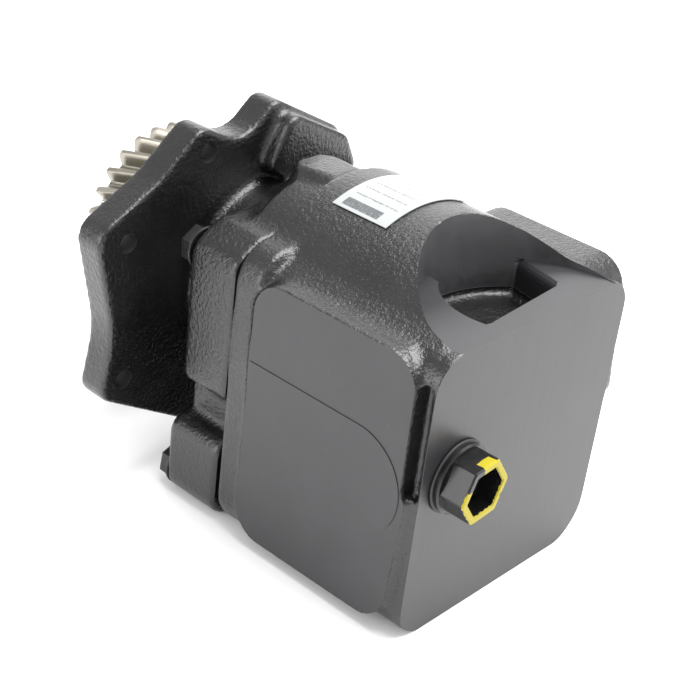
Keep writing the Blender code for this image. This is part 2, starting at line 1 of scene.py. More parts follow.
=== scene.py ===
"""Looks of a gear-driven variable axial piston pump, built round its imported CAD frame.

Castings are modelled in workshop millimetres: the shaft runs along Y through x = z = 0, the
machined rear face is y = 0 and Z is up. Workshop turns those into the row frame in metres.
"""
from __future__ import annotations

import logging
import math
from dataclasses import dataclass, field
from enum import Enum
from typing import Any, Iterable, Sequence

import bmesh
import bpy
import numpy as np
from mathutils import Matrix, Vector

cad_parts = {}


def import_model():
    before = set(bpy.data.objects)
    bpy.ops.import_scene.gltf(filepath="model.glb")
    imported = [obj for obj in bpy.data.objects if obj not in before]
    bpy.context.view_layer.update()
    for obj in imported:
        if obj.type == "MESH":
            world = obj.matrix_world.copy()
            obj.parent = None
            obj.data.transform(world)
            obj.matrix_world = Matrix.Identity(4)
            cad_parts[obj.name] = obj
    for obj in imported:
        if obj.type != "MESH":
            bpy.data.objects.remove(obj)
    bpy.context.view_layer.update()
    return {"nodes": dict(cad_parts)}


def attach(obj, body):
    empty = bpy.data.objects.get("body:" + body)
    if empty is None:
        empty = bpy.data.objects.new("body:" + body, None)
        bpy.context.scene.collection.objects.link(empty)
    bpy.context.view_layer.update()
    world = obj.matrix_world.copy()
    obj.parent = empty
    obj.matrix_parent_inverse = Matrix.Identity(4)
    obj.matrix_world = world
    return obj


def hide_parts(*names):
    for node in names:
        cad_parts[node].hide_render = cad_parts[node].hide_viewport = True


LOG = logging.getLogger("pump")
MM = 0.001
Outline = list[tuple[float, float]]


# ---------------------------------------------------------------- node writing


class Wire:
    """One output socket of a node tree, with arithmetic that adds Math nodes."""

    def __init__(self, graph: "Graph", socket: Any) -> None:
        """Keep the graph and the socket."""
        self.graph = graph
        self.socket = socket

    def _math(self, operation: str, *values: Any) -> "Wire":
        """Add one Math node over this socket and the values."""
        return self.graph.add("ShaderNodeMath", {"operation": operation}, list(values))

    def __add__(self, other: Any) -> "Wire":
        """Sum."""
        return self._math("ADD", self, other)

    __radd__ = __add__

    def __mul__(self, other: Any) -> "Wire":
        """Product."""
        return self._math("MULTIPLY", self, other)

    __rmul__ = __mul__

    def __sub__(self, other: Any) -> "Wire":
        """Difference."""
        return self._math("SUBTRACT", self, other)

    def __rsub__(self, other: Any) -> "Wire":
        """Reflected difference."""
        return self._math("SUBTRACT", other, self)

    def __truediv__(self, other: Any) -> "Wire":
        """Quotient."""
        return self._math("DIVIDE", self, other)

    def __pow__(self, other: Any) -> "Wire":
        """Power."""
        return self._math("POWER", self, other)

    def __gt__(self, other: Any) -> "Wire":
        """One where this is above the other value, else zero."""
        return self._math("GREATER_THAN", self, other)

    def __lt__(self, other: Any) -> "Wire":
        """One where this is below the other value, else zero."""
        return self._math("LESS_THAN", self, other)

    def clamp(self) -> "Wire":
        """Limit to the range 0 to 1."""
        return self.graph.add("ShaderNodeClamp", {}, [self])

    def smooth(self, low: float, high: float) -> "Wire":
        """Ease from 0 at low to 1 at high."""
        return self.graph.add("ShaderNodeMapRange", {"interpolation_type": "SMOOTHSTEP"},
                              {0: self, 1: low, 2: high, 3: 0.0, 4: 1.0})


class Graph:
    """A node tree being written, for a material or for geometry."""

    def __init__(self, tree: Any) -> None:
        """Keep the tree.

        Args:
            tree: the shader or geometry node tree to write in.
        """
        self.tree = tree

    def node(self, kind: str, settings: dict[str, Any], values: Any) -> Any:
        """Add a node, apply its settings, then fill or link its inputs.

        Args:
            kind: the node's type name.
            settings: attributes set before the inputs.
            values: a list in socket order, or a dict by socket name or number.

        Returns:
            The node.
        """
        made = self.tree.nodes.new(kind)
        for key, value in settings.items():
            setattr(made, key, value)
        items = enumerate(values) if isinstance(values, (list, tuple)) else values.items()
        for key, value in items:
            if value is None:
                continue
            target = made.inputs[key]
            if isinstance(value, Wire):
                self.tree.links.new(value.socket, target)
            else:
                target.default_value = value
        return made

    def add(self, kind: str, settings: dict[str, Any], values: Any, out: Any = 0) -> Wire:
        """Add a node and return one of its outputs as a wire.

        Args:
            kind: the node's type name.
            settings: attributes set first.
            values: the inputs.
            out: name or number of the output.

        Returns:
            The chosen output.
        """
        return Wire(self, self.node(kind, settings, values).outputs[out])


def grey(level: float) -> tuple[float, float, float, float]:
    """A neutral colour of one level."""
    return (level, level, level, 1.0)


class Shader(Graph):
    """The graph of one material, with the nodes that finishes share."""

    def __init__(self, name: str) -> None:
        """Start an empty material.

        Args:
            name: the material's name.
        """
        self.material = bpy.data.materials.new(name)
        self.material.use_nodes = True
        super().__init__(self.material.node_tree)
        self.tree.nodes.clear()
        self.place = self.add("ShaderNodeTexCoord", {}, {}, "Object")

    def noise(self, scale: float, detail: float = 3.0, rough: float = 0.55, stretch: Any = None) -> Wire:
        """Fractal noise on object coordinates.

        Args:
            scale: cells per metre.
            detail: number of octaves.
            rough: gain between octaves.
            stretch: scale factors of x, y and z, for grain that runs one way.

        Returns:
            The noise value.
        """
        where = self.place
        if stretch is not None:
            where = self.add("ShaderNodeMapping", {}, {"Vector": self.place, "Scale": stretch})
        return self.add("ShaderNodeTexNoise", {}, {"Vector": where, "Scale": scale, "Detail": detail,
                                                   "Roughness": rough}, "Fac")

    def mix(self, factor: Any, first: Any, second: Any) -> Wire:
        """Blend two colours.

        Args:
            factor: 0 gives the first, 1 the second.
            first: a colour or a wire.
            second: a colour or a wire.

        Returns:
            The blended colour.
        """
        return self.add("ShaderNodeMix", {"data_type": "RGBA"}, {0: factor, 6: first, 7: second}, 2)

    def bump(self, height: Wire, strength: float, distance: float, below: Wire | None = None) -> Wire:
        """Turn a height into a normal.

        Args:
            height: the height field.
            strength: how much of it shows.
            distance: metres of relief for a height of one.
            below: the normal it adds to.

        Returns:
            The normal.
        """
        return self.add("ShaderNodeBump", {}, {"Strength": strength, "Distance": distance, "Height": height,
                                               "Normal": below})

    def close(self, **sockets: Any) -> bpy.types.Material:
        """Finish with a Principled shader.

        Args:
            sockets: Principled inputs, with underscores for spaces.

        Returns:
            The material.
        """
        values = {key.replace("_", " "): value for key, value in sockets.items() if value is not None}
        surface = self.add("ShaderNodeBsdfPrincipled", {}, values)
        self.node("ShaderNodeOutputMaterial", {}, {"Surface": surface})
        return self.material


# ---------------------------------------------------------------- finishes


@dataclass(frozen=True)
class CastPaint:
    """Semi-gloss black enamel sprayed over a sand casting."""

    colour: tuple[float, float, float, float] = (0.0035, 0.0035, 0.0039, 1.0)
    roughness: float = 0.25
    grain: float = 1.0

    def make(self, name: str) -> bpy.types.Material:
        """Build the material.

        Args:
            name: the material's name.

        Returns:
            The material.
        """
        sh = Shader(name)
        sand = sh.noise(1150.0, 3.0, 0.6)
        pebble = sh.noise(480.0, 2.0, 0.5)
        swell = sh.noise(70.0, 2.0, 0.5)
        fine = sh.noise(1900.0, 1.0, 0.5)
        tone = sh.noise(22.0, 3.0, 0.6)
        base = sh.mix(tone.smooth(0.3, 0.7), self.colour, (0.0065, 0.0064, 0.0069, 1.0))
        rough = self.roughness + (tone - 0.5) * 0.16 + (fine - 0.5) * 0.10
        normal = sh.bump(swell, 0.25, 0.0012)
        normal = sh.bump(pebble, 0.65 * self.grain, 0.0008, normal)
        normal = sh.bump(sand, 0.5 * self.grain, 0.0004, normal)
        return sh.close(Base_Color=base, Roughness=rough, Normal=normal, Specular_IOR_Level=0.5,
                        Coat_Weight=0.12, Coat_Roughness=0.2)


@dataclass(frozen=True)
class MilledPaint:
    """The same enamel over a milled face: flatter, with faint cutter marks and dust."""

    colour: tuple[float, float, float, float] = (0.0145, 0.0137, 0.0156, 1.0)
    roughness: float = 0.40

    def make(self, name: str) -> bpy.types.Material:
        """Build the material.

        Args:
            name: the material's name.

        Returns:
            The material.
        """
        sh = Shader(name)
        tone = sh.noise(30.0, 4.0, 0.6)
        lay = sh.noise(420.0, 2.0, 0.5, (1.0, 1.0, 0.06))
        peel = sh.noise(900.0, 2.0, 0.5)
        speck = sh.noise(700.0, 0.0, 0.0)
        dust = (speck > 0.845)
        base = sh.mix(tone.smooth(0.35, 0.7), self.colour, (0.019, 0.018, 0.0202, 1.0))
        base = sh.mix(dust * 0.4, base, (0.08, 0.075, 0.07, 1.0))
        rough = self.roughness + (tone - 0.5) * 0.10 + (lay - 0.5) * 0.06
        normal = sh.bump(lay, 0.16, 0.00012)
        normal = sh.bump(peel, 0.18, 0.00012, normal)
        return sh.close(Base_Color=base, Roughness=rough, Normal=normal)


@dataclass(frozen=True)
class BareSteel:
    """Uncoated steel, from ground journals to an oil-dulled hobbed gear."""

    colour: tuple[float, float, float, float]
    roughness: float
    grain: float = 0.3
    stain: tuple[float, float, float, float] = (0.16, 0.12, 0.08, 1.0)
    stain_share: float = 0.3

    def make(self, name: str) -> bpy.types.Material:
        """Build the material.

        Args:
            name: the material's name.

        Returns:
            The material.
        """
        sh = Shader(name)
        tone = sh.noise(60.0, 4.0, 0.6)
        patch = sh.noise(25.0, 5.0, 0.65)
        scratch = sh.noise(1400.0, 2.0, 0.5, (1.0, 0.08, 1.0))
        base = sh.mix(patch.smooth(0.45, 0.75) * self.stain_share, self.colour, self.stain)
        rough = self.roughness + (tone - 0.5) * 0.2 + (scratch - 0.5) * 0.1
        normal = sh.bump(scratch, self.grain, 0.00008)
        normal = sh.bump(tone, self.grain * 0.5, 0.0004, normal)
        return sh.close(Base_Color=base, Roughness=rough, Metallic=1.0, Normal=normal)


@dataclass(frozen=True)
class Rubber:
    """Matt black moulded seal rubber."""

    def make(self, name: str) -> bpy.types.Material:
        """Build the material.

        Args:
            name: the material's name.

        Returns:
            The material.
        """
        sh = Shader(name)
        tone = sh.noise(300.0, 3.0, 0.6)
        base = sh.mix(tone, (0.012, 0.012, 0.012, 1.0), (0.024, 0.024, 0.025, 1.0))
        normal = sh.bump(tone, 0.2, 0.0001)
        return sh.close(Base_Color=base, Roughness=0.6 + (tone - 0.5) * 0.2, Normal=normal)


@dataclass(frozen=True)
class PlugPaint:
    """Gloss black plating on the rear plug, with yellow check paint brushed on the hexagon's rim."""

    centre: Vector
    rim_y: float

    def make(self, name: str) -> bpy.types.Material:
        """Build the material.

        Args:
            name: the material's name.

        Returns:
            The material.
        """
        sh = Shader(name)
        local = sh.add("ShaderNodeVectorMath", {"operation": "SUBTRACT"}, [sh.place, tuple(self.centre)])
        parts = sh.node("ShaderNodeSeparateXYZ", {}, [local])
        x, y, z = (Wire(sh, parts.outputs[k]) for k in range(3))
        ragged = sh.noise(420.0, 3.0, 0.6)
        spill = self._near(x, z, -0.5, 17.0).smooth(0.0062, 0.0050)
        reach = self.rim_y + 0.0008 + spill * 0.0045
        face = (y + (ragged - 0.5) * 0.0024) < reach
        bare = self._near(x, z, -11.4, 12.4) + (ragged - 0.5) * 0.004
        nick = self._near(x, z, 13.4, -6.6) + (ragged - 0.5) * 0.002
        paint = (face * (bare > 0.0078) * (nick > 0.0016)).clamp()
        wear = sh.noise(90.0, 4.0, 0.6)
        black = sh.mix(wear.smooth(0.4, 0.7), (0.005, 0.005, 0.0055, 1.0), (0.012, 0.0115, 0.012, 1.0))
        base = sh.mix(paint, black, (0.30, 0.25, 0.001, 1.0))
        rough = 0.24 + paint * 0.22 + (wear - 0.5) * 0.14
        normal = sh.bump(paint + ragged * 0.12, 0.6, 0.0003)
        return sh.close(Base_Color=base, Roughness=rough, Normal=normal, Specular_IOR_Level=0.34)

    @staticmethod
    def _near(x: Wire, z: Wire, px: float, pz: float) -> Wire:
        """Distance in metres from a line along Y through (px, pz), given in millimetres."""
        return ((x - px * MM) ** 2.0 + (z - pz * MM) ** 2.0) ** 0.5


@dataclass(frozen=True)
class LabelFoil:
    """Satin white foil label with a generic dark bar and plain ruled boxes."""

    axis_x: float
    axis_z: float
    radius: float
    y_low: float

    def make(self, name: str) -> bpy.types.Material:
        """Build the material.

        Args:
            name: the material's name.

        Returns:
            The material.
        """
        sh = Shader(name)
        parts = sh.node("ShaderNodeSeparateXYZ", {}, [sh.place])
        x, y, z = (Wire(sh, parts.outputs[k]) for k in range(3))
        lean = sh.add("ShaderNodeMath", {"operation": "ARCTAN2"}, [x - self.axis_x, z - self.axis_z])
        across = lean * (self.radius / MM)
        along = (y - self.y_low) / MM
        speck = sh.noise(1500.0, 1.0, 0.5)
        ink = self._box(across, along, -27.5, -21.5, 8.0, 31.0) * (speck > 0.34)
        for step in range(5):
            low = -17.0 + 7.4 * step
            ink = ink + self._box(across, along, low, low + 1.1, 4.0, 31.0) * (speck > 0.47)
        fade = sh.noise(40.0, 3.0, 0.6)
        base = sh.mix(fade, (0.23, 0.243, 0.238, 1.0), (0.28, 0.292, 0.288, 1.0))
        base = sh.mix((ink * 0.86).clamp(), base, (0.02, 0.025, 0.03, 1.0))
        return sh.close(Base_Color=base, Roughness=0.34 + fade * 0.1, Coat_Weight=0.2)

    @staticmethod
    def _box(across: Wire, along: Wire, a0: float, a1: float, b0: float, b1: float) -> Wire:
        """One inside a ruled box, zero outside."""
        return (across > a0) * (across < a1) * (along > b0) * (along < b1)


class Finish(Enum):
    """Finishes shared by several pieces."""

    CAST = CastPaint()
    MILLED = MilledPaint()
    # the same enamel with a lighter base colour: a painted reflection on the plateau's round wall
    SATIN = MilledPaint(colour=(0.055, 0.053, 0.056, 1.0), roughness=0.46)
    FASTENER = CastPaint(colour=(0.004, 0.004, 0.0044, 1.0), roughness=0.28, grain=0.25)
    GROUND = BareSteel((0.24, 0.235, 0.225, 1.0), 0.26, 0.25, (0.09, 0.07, 0.05, 1.0), 0.2)
    GEAR = BareSteel((0.30, 0.28, 0.24, 1.0), 0.36, 0.5, (0.10, 0.082, 0.055, 1.0), 0.5)
    SPRING = BareSteel((0.12, 0.12, 0.125, 1.0), 0.34, 0.3, (0.06, 0.05, 0.04, 1.0))
    BRONZE = BareSteel((0.26, 0.165, 0.075, 1.0), 0.30, 0.3, (0.12, 0.07, 0.03, 1.0), 0.35)
    RUBBER = Rubber()


class Paintshop:
    """Makes each shared material once."""

    def __init__(self) -> None:
        """Start with no material made."""
        self._made: dict[Finish, bpy.types.Material] = {}

    def get(self, finish: Finish) -> bpy.types.Material:
        """The material of a finish, made on first use.

        Args:
            finish: the finish.

        Returns:
            Its material.
        """
        if finish not in self._made:
            self._made[finish] = finish.value.make("finish_" + finish.name.lower())
        return self._made[finish]


# ---------------------------------------------------------------- casting blanks


def rounded(corners: Sequence[tuple[float, float, float]], steps: int = 7) -> Outline:
    """Polygon with each corner rounded by its own radius.

    Args:
        corners: (u, v, radius) of each corner, in order round the outline.
        steps: segments of each corner's arc.

    Returns:
        The outline's points.
    """
    out: Outline = []
    count = len(corners)
    for i, (u, v, r) in enumerate(corners):
        here = Vector((u, v))
        to_prev = Vector(corners[i - 1][:2]) - here
        to_next = Vector(corners[(i + 1) % count][:2]) - here
        half = to_prev.angle(to_next) / 2
        reach = min(r / math.tan(half), 0.49 * to_prev.length, 0.49 * to_next.length)
        radius = reach * math.tan(half)
        one, two = to_prev.normalized(), to_next.normalized()
        centre = here + (one + two).normalized() * (radius / math.sin(half))
        start, end = here + one * reach - centre, here + two * reach - centre
        sweep = start.angle_signed(end)
        for k in range(steps + 1):
            turn = -sweep * k / steps
            out.append((centre.x + start.x * math.cos(turn) - start.y * math.sin(turn),
                        centre.y + start.x * math.sin(turn) + start.y * math.cos(turn)))
    return out


def box_corners(u0: float, u1: float, v0: float, v1: float, r: float) -> list[tuple[float, float, float]]:
    """Corners of a rectangle that share one radius."""
    return [(u0, v0, r), (u1, v0, r), (u1, v1, r), (u0, v1, r)]


def ring_points(radius: float, count: int, centre: tuple[float, float] = (0.0, 0.0),
                turn: float = 0.0) -> Outline:
    """Points of a regular outline on a circle."""
    return [(centre[0] + radius * math.cos(turn + 2 * math.pi * k / count),
             centre[1] + radius * math.sin(turn + 2 * math.pi * k / count)) for k in range(count)]


class Blank:
    """A casting's skin as a distance field on a grid, so that its parts run together in cast fillets."""

    def __init__(self, low: Sequence[float], high: Sequence[float], step: float) -> None:
        """Lay out the grid.

        Args:
            low: lowest corner of the grid, in millimetres.
            high: highest corner.
            step: spacing.
        """
        self.low = np.array(low, dtype=np.float32)
        self.step = step
        counts = [int(math.ceil((b - a) / step)) + 1 for a, b in zip(low, high)]
        lines = [np.arange(n, dtype=np.float32) * step + a for n, a in zip(counts, low)]
        self.axes = {"X": lines[0][:, None, None], "Y": lines[1][None, :, None], "Z": lines[2][None, None, :]}
        self.field = np.full(counts, 1000.0, dtype=np.float32)

    def others(self, axis: str) -> tuple[np.ndarray, np.ndarray]:
        """The two grid axes across the given one, in X, Y, Z order."""
        names = [name for name in "XYZ" if name != axis]
        return self.axes[names[0]], self.axes[names[1]]

    @staticmethod
    def flat_distance(u: np.ndarray, v: np.ndarray, outline: Outline) -> np.ndarray:
        """Signed distance to a closed outline in its plane.

        Args:
            u: first coordinate of every point.
            v: second coordinate.
            outline: the outline's points.

        Returns:
            Distances, negative inside.
        """
        shape = np.broadcast_shapes(u.shape, v.shape)
        best = np.full(shape, 1e9, dtype=np.float32)
        inside = np.zeros(shape, dtype=bool)
        for (u0, v0), (u1, v1) in zip(outline, outline[1:] + outline[:1]):
            du, dv = u1 - u0, v1 - v0
            length = du * du + dv * dv
            if length < 1e-9:
                continue
            along = np.clip(((u - u0) * du + (v - v0) * dv) / length, 0.0, 1.0)
            best = np.minimum(best, (u - u0 - along * du) ** 2 + (v - v0 - along * dv) ** 2)
            if dv != 0:
                crosses = ((v0 > v) != (v1 > v)) & (u < u0 + (v - v0) * du / dv)
                inside ^= crosses
        return np.where(inside, -np.sqrt(best), np.sqrt(best)).astype(np.float32)

    def extruded(self, flat: np.ndarray, axis: str, low: float, high: float, edge: float) -> np.ndarray:
        """Distance to a flat shape drawn out along an axis, with its rims rounded.

        Args:
            flat: distance across the axis.
            axis: X, Y or Z.
            low: start along the axis.
            high: end.
            edge: rounding radius of the rims.

        Returns:
            The distance.
        """
        along = np.abs(self.axes[axis] - (low + high) / 2) - (high - low) / 2 + edge
        across = flat + edge
        outer = np.sqrt(np.maximum(along, 0) ** 2 + np.maximum(across, 0) ** 2)
        return np.minimum(np.maximum(along, across), 0) + outer - edge

    def prism(self, outline: Outline, axis: str, low: float, high: float, edge: float = 2.0) -> np.ndarray:
        """Distance to an outline drawn out along an axis."""
        u, v = self.others(axis)
        return self.extruded(self.flat_distance(u, v, outline), axis, low, high, edge)

    def drum(self, radius: float, axis: str, low: float, high: float,
             centre: tuple[float, float] = (0.0, 0.0), edge: float = 2.0) -> np.ndarray:
        """Distance to a round bar along an axis.

        Args:
            radius: the bar's radius.
            axis: X, Y or Z.
            low: start along the axis.
            high: end.
            centre: its middle, across the axis.
            edge: rounding radius of the rims.

        Returns:
            The distance.
        """
        u, v = self.others(axis)
        flat = np.sqrt((u - centre[0]) ** 2 + (v - centre[1]) ** 2) - radius
        return self.extruded(flat, axis, low, high, edge)

    def turned(self, profile: Outline, edge: float = 2.0) -> np.ndarray:
        """Distance to a shape turned about Y.

        Args:
            profile: outline of (y, radius) points.
            edge: how far the shape grows past its outline, which rounds its corners.

        Returns:
            The distance.
        """
        reach = np.sqrt(self.axes["X"] ** 2 + self.axes["Z"] ** 2)
        outline = profile + [(y, -r) for y, r in reversed(profile)]
        return self.flat_distance(self.axes["Y"], reach, outline) - edge

    def join(self, shape: np.ndarray, fillet: float) -> None:
        """Add a shape, with a fillet where it meets the rest.

        Args:
            shape: distance to the shape.
            fillet: the fillet's radius.
        """
        if fillet <= 0:
            self.field = np.minimum(self.field, shape)
            return
        a, b = np.maximum(fillet - self.field, 0), np.maximum(fillet - shape, 0)
        self.field = np.maximum(fillet, np.minimum(self.field, shape)) - np.sqrt(a * a + b * b)

    def carve(self, shape: np.ndarray, lip: float) -> None:
        """Take a shape away, with its lip rounded over.

        Args:
            shape: distance to the shape.
            lip: the lip's radius.
        """
        inverse = -shape
        if lip <= 0:
            self.field = np.maximum(self.field, inverse)
            return
        a, b = np.maximum(lip + self.field, 0), np.maximum(lip + inverse, 0)
        self.field = np.minimum(-lip, np.maximum(self.field, inverse)) + np.sqrt(a * a + b * b)

    def skin(self) -> bmesh.types.BMesh:
        """Turn the field's zero surface into a closed quad mesh, in millimetres.

        Returns:
            The mesh, with faces pointing outwards.
        """
        f = self.field
        inside = f < 0
        shape = np.array(f.shape) - 1
        corner = [(i, j, k) for i in (0, 1) for j in (0, 1) for k in (0, 1)]
        views = [tuple(slice(c, c + n) for c, n in zip(one, shape)) for one in corner]
        total = sum(inside[view].astype(np.int8) for view in views)
        cells = np.argwhere((total > 0) & (total < 8))
        index = np.full(tuple(shape), -1, dtype=np.int64)
        index[tuple(cells.T)] = np.arange(len(cells))
        values = {c: f[cells[:, 0] + c[0], cells[:, 1] + c[1], cells[:, 2] + c[2]] for c in corner}
        place = np.zeros((len(cells), 3), dtype=np.float64)
        hits = np.zeros(len(cells))
        for one in corner:
            for axis in range(3):
                if one[axis]:
                    continue
                two = tuple(1 if n == axis else one[n] for n in range(3))
                a, b = values[one], values[two]
                cross = (a < 0) != (b < 0)
                t = np.where(cross, a / np.where(cross, a - b, 1.0), 0.0)
                point = np.tile(np.array(one, dtype=np.float64), (len(cells), 1))
                point[:, axis] = t
                place += point * cross[:, None]
                hits += cross
        place = (place / hits[:, None] + cells) * self.step + self.low
        quads = []
        for axis in range(3):
            b, c = (axis + 1) % 3, (axis + 2) % 3
            first = tuple(slice(0, -1) if n == axis else slice(1, -1) for n in range(3))
            second = tuple(slice(1, None) if n == axis else slice(1, -1) for n in range(3))
            low_in, high_in = inside[first], inside[second]
            at = np.argwhere(low_in != high_in)
            flip = high_in[tuple(at.T)]
            base = at + np.array([0 if n == axis else 1 for n in range(3)])
            ring = []
            for db, dc in ((-1, -1), (0, -1), (0, 0), (-1, 0)):
                cell = base.copy()
                cell[:, b] += db
                cell[:, c] += dc
                ring.append(index[tuple(cell.T)])
            quad = np.stack(ring, axis=1)
            quad[flip] = quad[flip][:, ::-1]
            quads.append(quad)
        faces = np.concatenate(quads)
        mesh = bpy.data.meshes.new("skin")
        mesh.from_pydata(place.tolist(), [], faces.tolist())
        made = bmesh.new()
        made.from_mesh(mesh)
        bpy.data.meshes.remove(mesh)
        for face in made.faces:
            face.smooth = True
        return made


# ---------------------------------------------------------------- mesh shop


class Body(Enum):
    """Bodies of the frame that the pieces made here ride on."""

    HOUSING = "housing"
    ROTOR = "rotor"


@dataclass
class Workshop:
    """Turns workshop millimetres into finished pieces of the frame, and keeps count of them."""

    origin: Vector = field(default_factory=lambda: Vector((-1.4, 132.35, -107.5)))
    paint: Paintshop = field(default_factory=Paintshop)
    done: list[str] = field(default_factory=list)

    def metres(self, x: float, y: float, z: float) -> Vector:
        """A workshop point in the row frame."""
        return (Vector((x, y, z)) - self.origin) * MM

    def piece(self, name: str, bm: bmesh.types.BMesh, *finishes: Finish) -> bpy.types.Object:
        """Make an object of a mesh drawn in workshop millimetres.

        Args:
            name: the object's name.
            bm: the mesh; it is freed.
            finishes: what its material slots hold, in order.

        Returns:
            The object, at the origin, with its place in its mesh.
        """
        bm.transform(Matrix.Scale(MM, 4) @ Matrix.Translation(-self.origin))
        mesh = bpy.data.meshes.new(name)
        bm.to_mesh(mesh)
        bm.free()
        for finish in finishes:
            mesh.materials.append(self.paint.get(finish))
        made = bpy.data.objects.new(name, mesh)
        bpy.context.scene.collection.objects.link(made)
        return made

    def cut(self, target: bpy.types.Object, bm: bmesh.types.BMesh, operation: str = "DIFFERENCE") -> None:
        """Apply one exact boolean whose new faces take material slot 1.

        Args:
            target: the piece that is cut.
            bm: the tool, in workshop millimetres.
            operation: DIFFERENCE or UNION.
        """
        for face in bm.faces:
            face.material_index = 1
        tool = self.piece("tool", bm)
        for material in target.data.materials:
            tool.data.materials.append(material)
        modifier = target.modifiers.new("cut", "BOOLEAN")
        modifier.operation = operation
        modifier.solver = "EXACT"
        modifier.object = tool
        bake(target)
        bpy.data.objects.remove(tool)

    def hand_over(self, made: bpy.types.Object, body: Body, slot: str, *nodes: str) -> None:
        """Report a finished piece and tie it to its body and nodes.

        Args:
            made: the piece.
            body: the body it rides on.
            slot: not used.
            nodes: CAD nodes it stands for.
        """
        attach(made, body.value)
        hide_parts(*nodes)
        self.done.append(made.name)
        LOG.info("%-22s %7d faces, for %s", made.name, len(made.data.polygons), ", ".join(nodes))


def bake(target: bpy.types.Object) -> None:
    """Replace an object's mesh by the result of its modifiers.

    Args:
        target: the object; its modifiers are removed.
    """
    graph = bpy.context.evaluated_depsgraph_get()
    mesh = bpy.data.meshes.new_from_object(target.evaluated_get(graph), depsgraph=graph)
    target.modifiers.clear()
    old = target.data
    target.data = mesh
    bpy.data.meshes.remove(old)


def slice_off(bm: bmesh.types.BMesh, point: Sequence[float], normal: Sequence[float]) -> None:
    """Mill a mesh flat: everything past a plane goes, and the cut is closed by a face in slot 1.

    Args:
        bm: the mesh.
        point: a point of the plane.
        normal: the plane's direction, towards what is removed.
    """
    geometry = list(bm.verts) + list(bm.edges) + list(bm.faces)
    result = bmesh.ops.bisect_plane(bm, geom=geometry, dist=1e-4, plane_co=point, plane_no=normal,
                                    clear_outer=True)
    rim = [g for g in result["geom_cut"]
           if isinstance(g, bmesh.types.BMEdge) and g.is_valid and g.is_boundary]
    for face in bmesh.ops.edgeloop_fill(bm, edges=rim)["faces"]:
        face.material_index = 1
        face.smooth = False
        face.normal_update()
        if face.normal.dot(Vector(normal)) < 0:
            face.normal_flip()


def placed(axis: str, along: float, u: float, v: float) -> tuple[float, float, float]:
    """Put a distance along an axis and a flat point across it in X, Y, Z order."""
    return {"X": (along, u, v), "Y": (u, along, v), "Z": (u, v, along)}[axis]


def loft(bm: bmesh.types.BMesh, layers: Sequence[tuple[float, Outline]], axis: str = "Y") -> None:
    """Add a closed solid through outlines stacked along an axis.

    Args:
        bm: the mesh to add to.
        layers: (along, outline) pairs; every outline has the same number of points.
        axis: X, Y or Z.
    """
    rings = [[bm.verts.new(placed(axis, along, u, v)) for u, v in outline] for along, outline in layers]
    faces = [bm.faces.new(rings[0]), bm.faces.new(rings[-1])]
    for one, two in zip(rings, rings[1:]):
        for k in range(len(one)):
            n = (k + 1) % len(one)
            faces.append(bm.faces.new((one[k], one[n], two[n], two[k])))
    bmesh.ops.recalc_face_normals(bm, faces=faces)


def add_prism(bm: bmesh.types.BMesh, outline: Outline, low: float, high: float, axis: str = "Y") -> None:
    """Add an outline drawn out along an axis from low to high."""
    loft(bm, [(low, outline), (high, outline)], axis)


def add_turned(bm: bmesh.types.BMesh, profile: Outline, segments: int = 64, axis: str = "Y",
               centre: Sequence[float] = (0.0, 0.0, 0.0), turn: float = 0.0, smooth: bool = True) -> None:
    """Add a closed shape turned about an axis.

    Args:
        bm: the mesh to add to.
        profile: (along, radius) points; a radius of zero is a pole.
        segments: steps round the axis.
        axis: X, Y or Z.
        centre: a point that the shape is shifted by.
        turn: angle of the first step.
        smooth: shade it smooth.
    """
    rings = []
    for along, r in profile:
        ring = []
        for k in range(segments if r > 1e-6 else 1):
            a = turn + 2 * math.pi * k / segments
            u, v = r * math.cos(a), r * math.sin(a)
            ring.append(bm.verts.new(Vector(placed(axis, along, u, v)) + Vector(centre)))
        rings.append(ring)
    closed = profile[0][1] > 1e-6 or profile[-1][1] > 1e-6
    faces = []
    for one, two in zip(rings, rings[1:] + rings[:1] if closed else rings[1:]):
        for k in range(segments):
            n = (k + 1) % segments
            loop = [one[k % len(one)], one[n % len(one)], two[n % len(two)], two[k % len(two)]]
            face = bm.faces.new(list(dict.fromkeys(loop)))
            face.smooth = smooth
            faces.append(face)
    bmesh.ops.recalc_face_normals(bm, faces=faces)


def tube(low: float, high: float, inner: float, outer: float, lip: float = 0.6) -> Outline:
    """Ring profile with small chamfers."""
    return [(low, inner + lip), (low, outer - lip), (low + lip, outer), (high - lip, outer),
            (high, outer - lip), (high, inner + lip), (high - lip, inner), (low + lip, inner)]


def rod(low: float, high: float, radius: float) -> Outline:
    """Plain bar profile."""
    return [(low, 0.0), (low, radius), (high, radius), (high, 0.0)]


def crease(made: bpy.types.Object, degrees: float = 35.0) -> None:
    """Mark edges sharper than an angle, so that smooth shading stops there.

    Args:
        made: the piece.
        degrees: the angle.
    """
    bm = bmesh.new()
    bm.from_mesh(made.data)
    limit = math.radians(degrees)
    for edge in bm.edges:
        if len(edge.link_faces) == 2:
            one, two = edge.link_faces
            edge.smooth = edge.calc_face_angle(0.0) < limit and one.material_index == two.material_index
    bm.to_mesh(made.data)
    bm.free()


# ---------------------------------------------------------------- castings


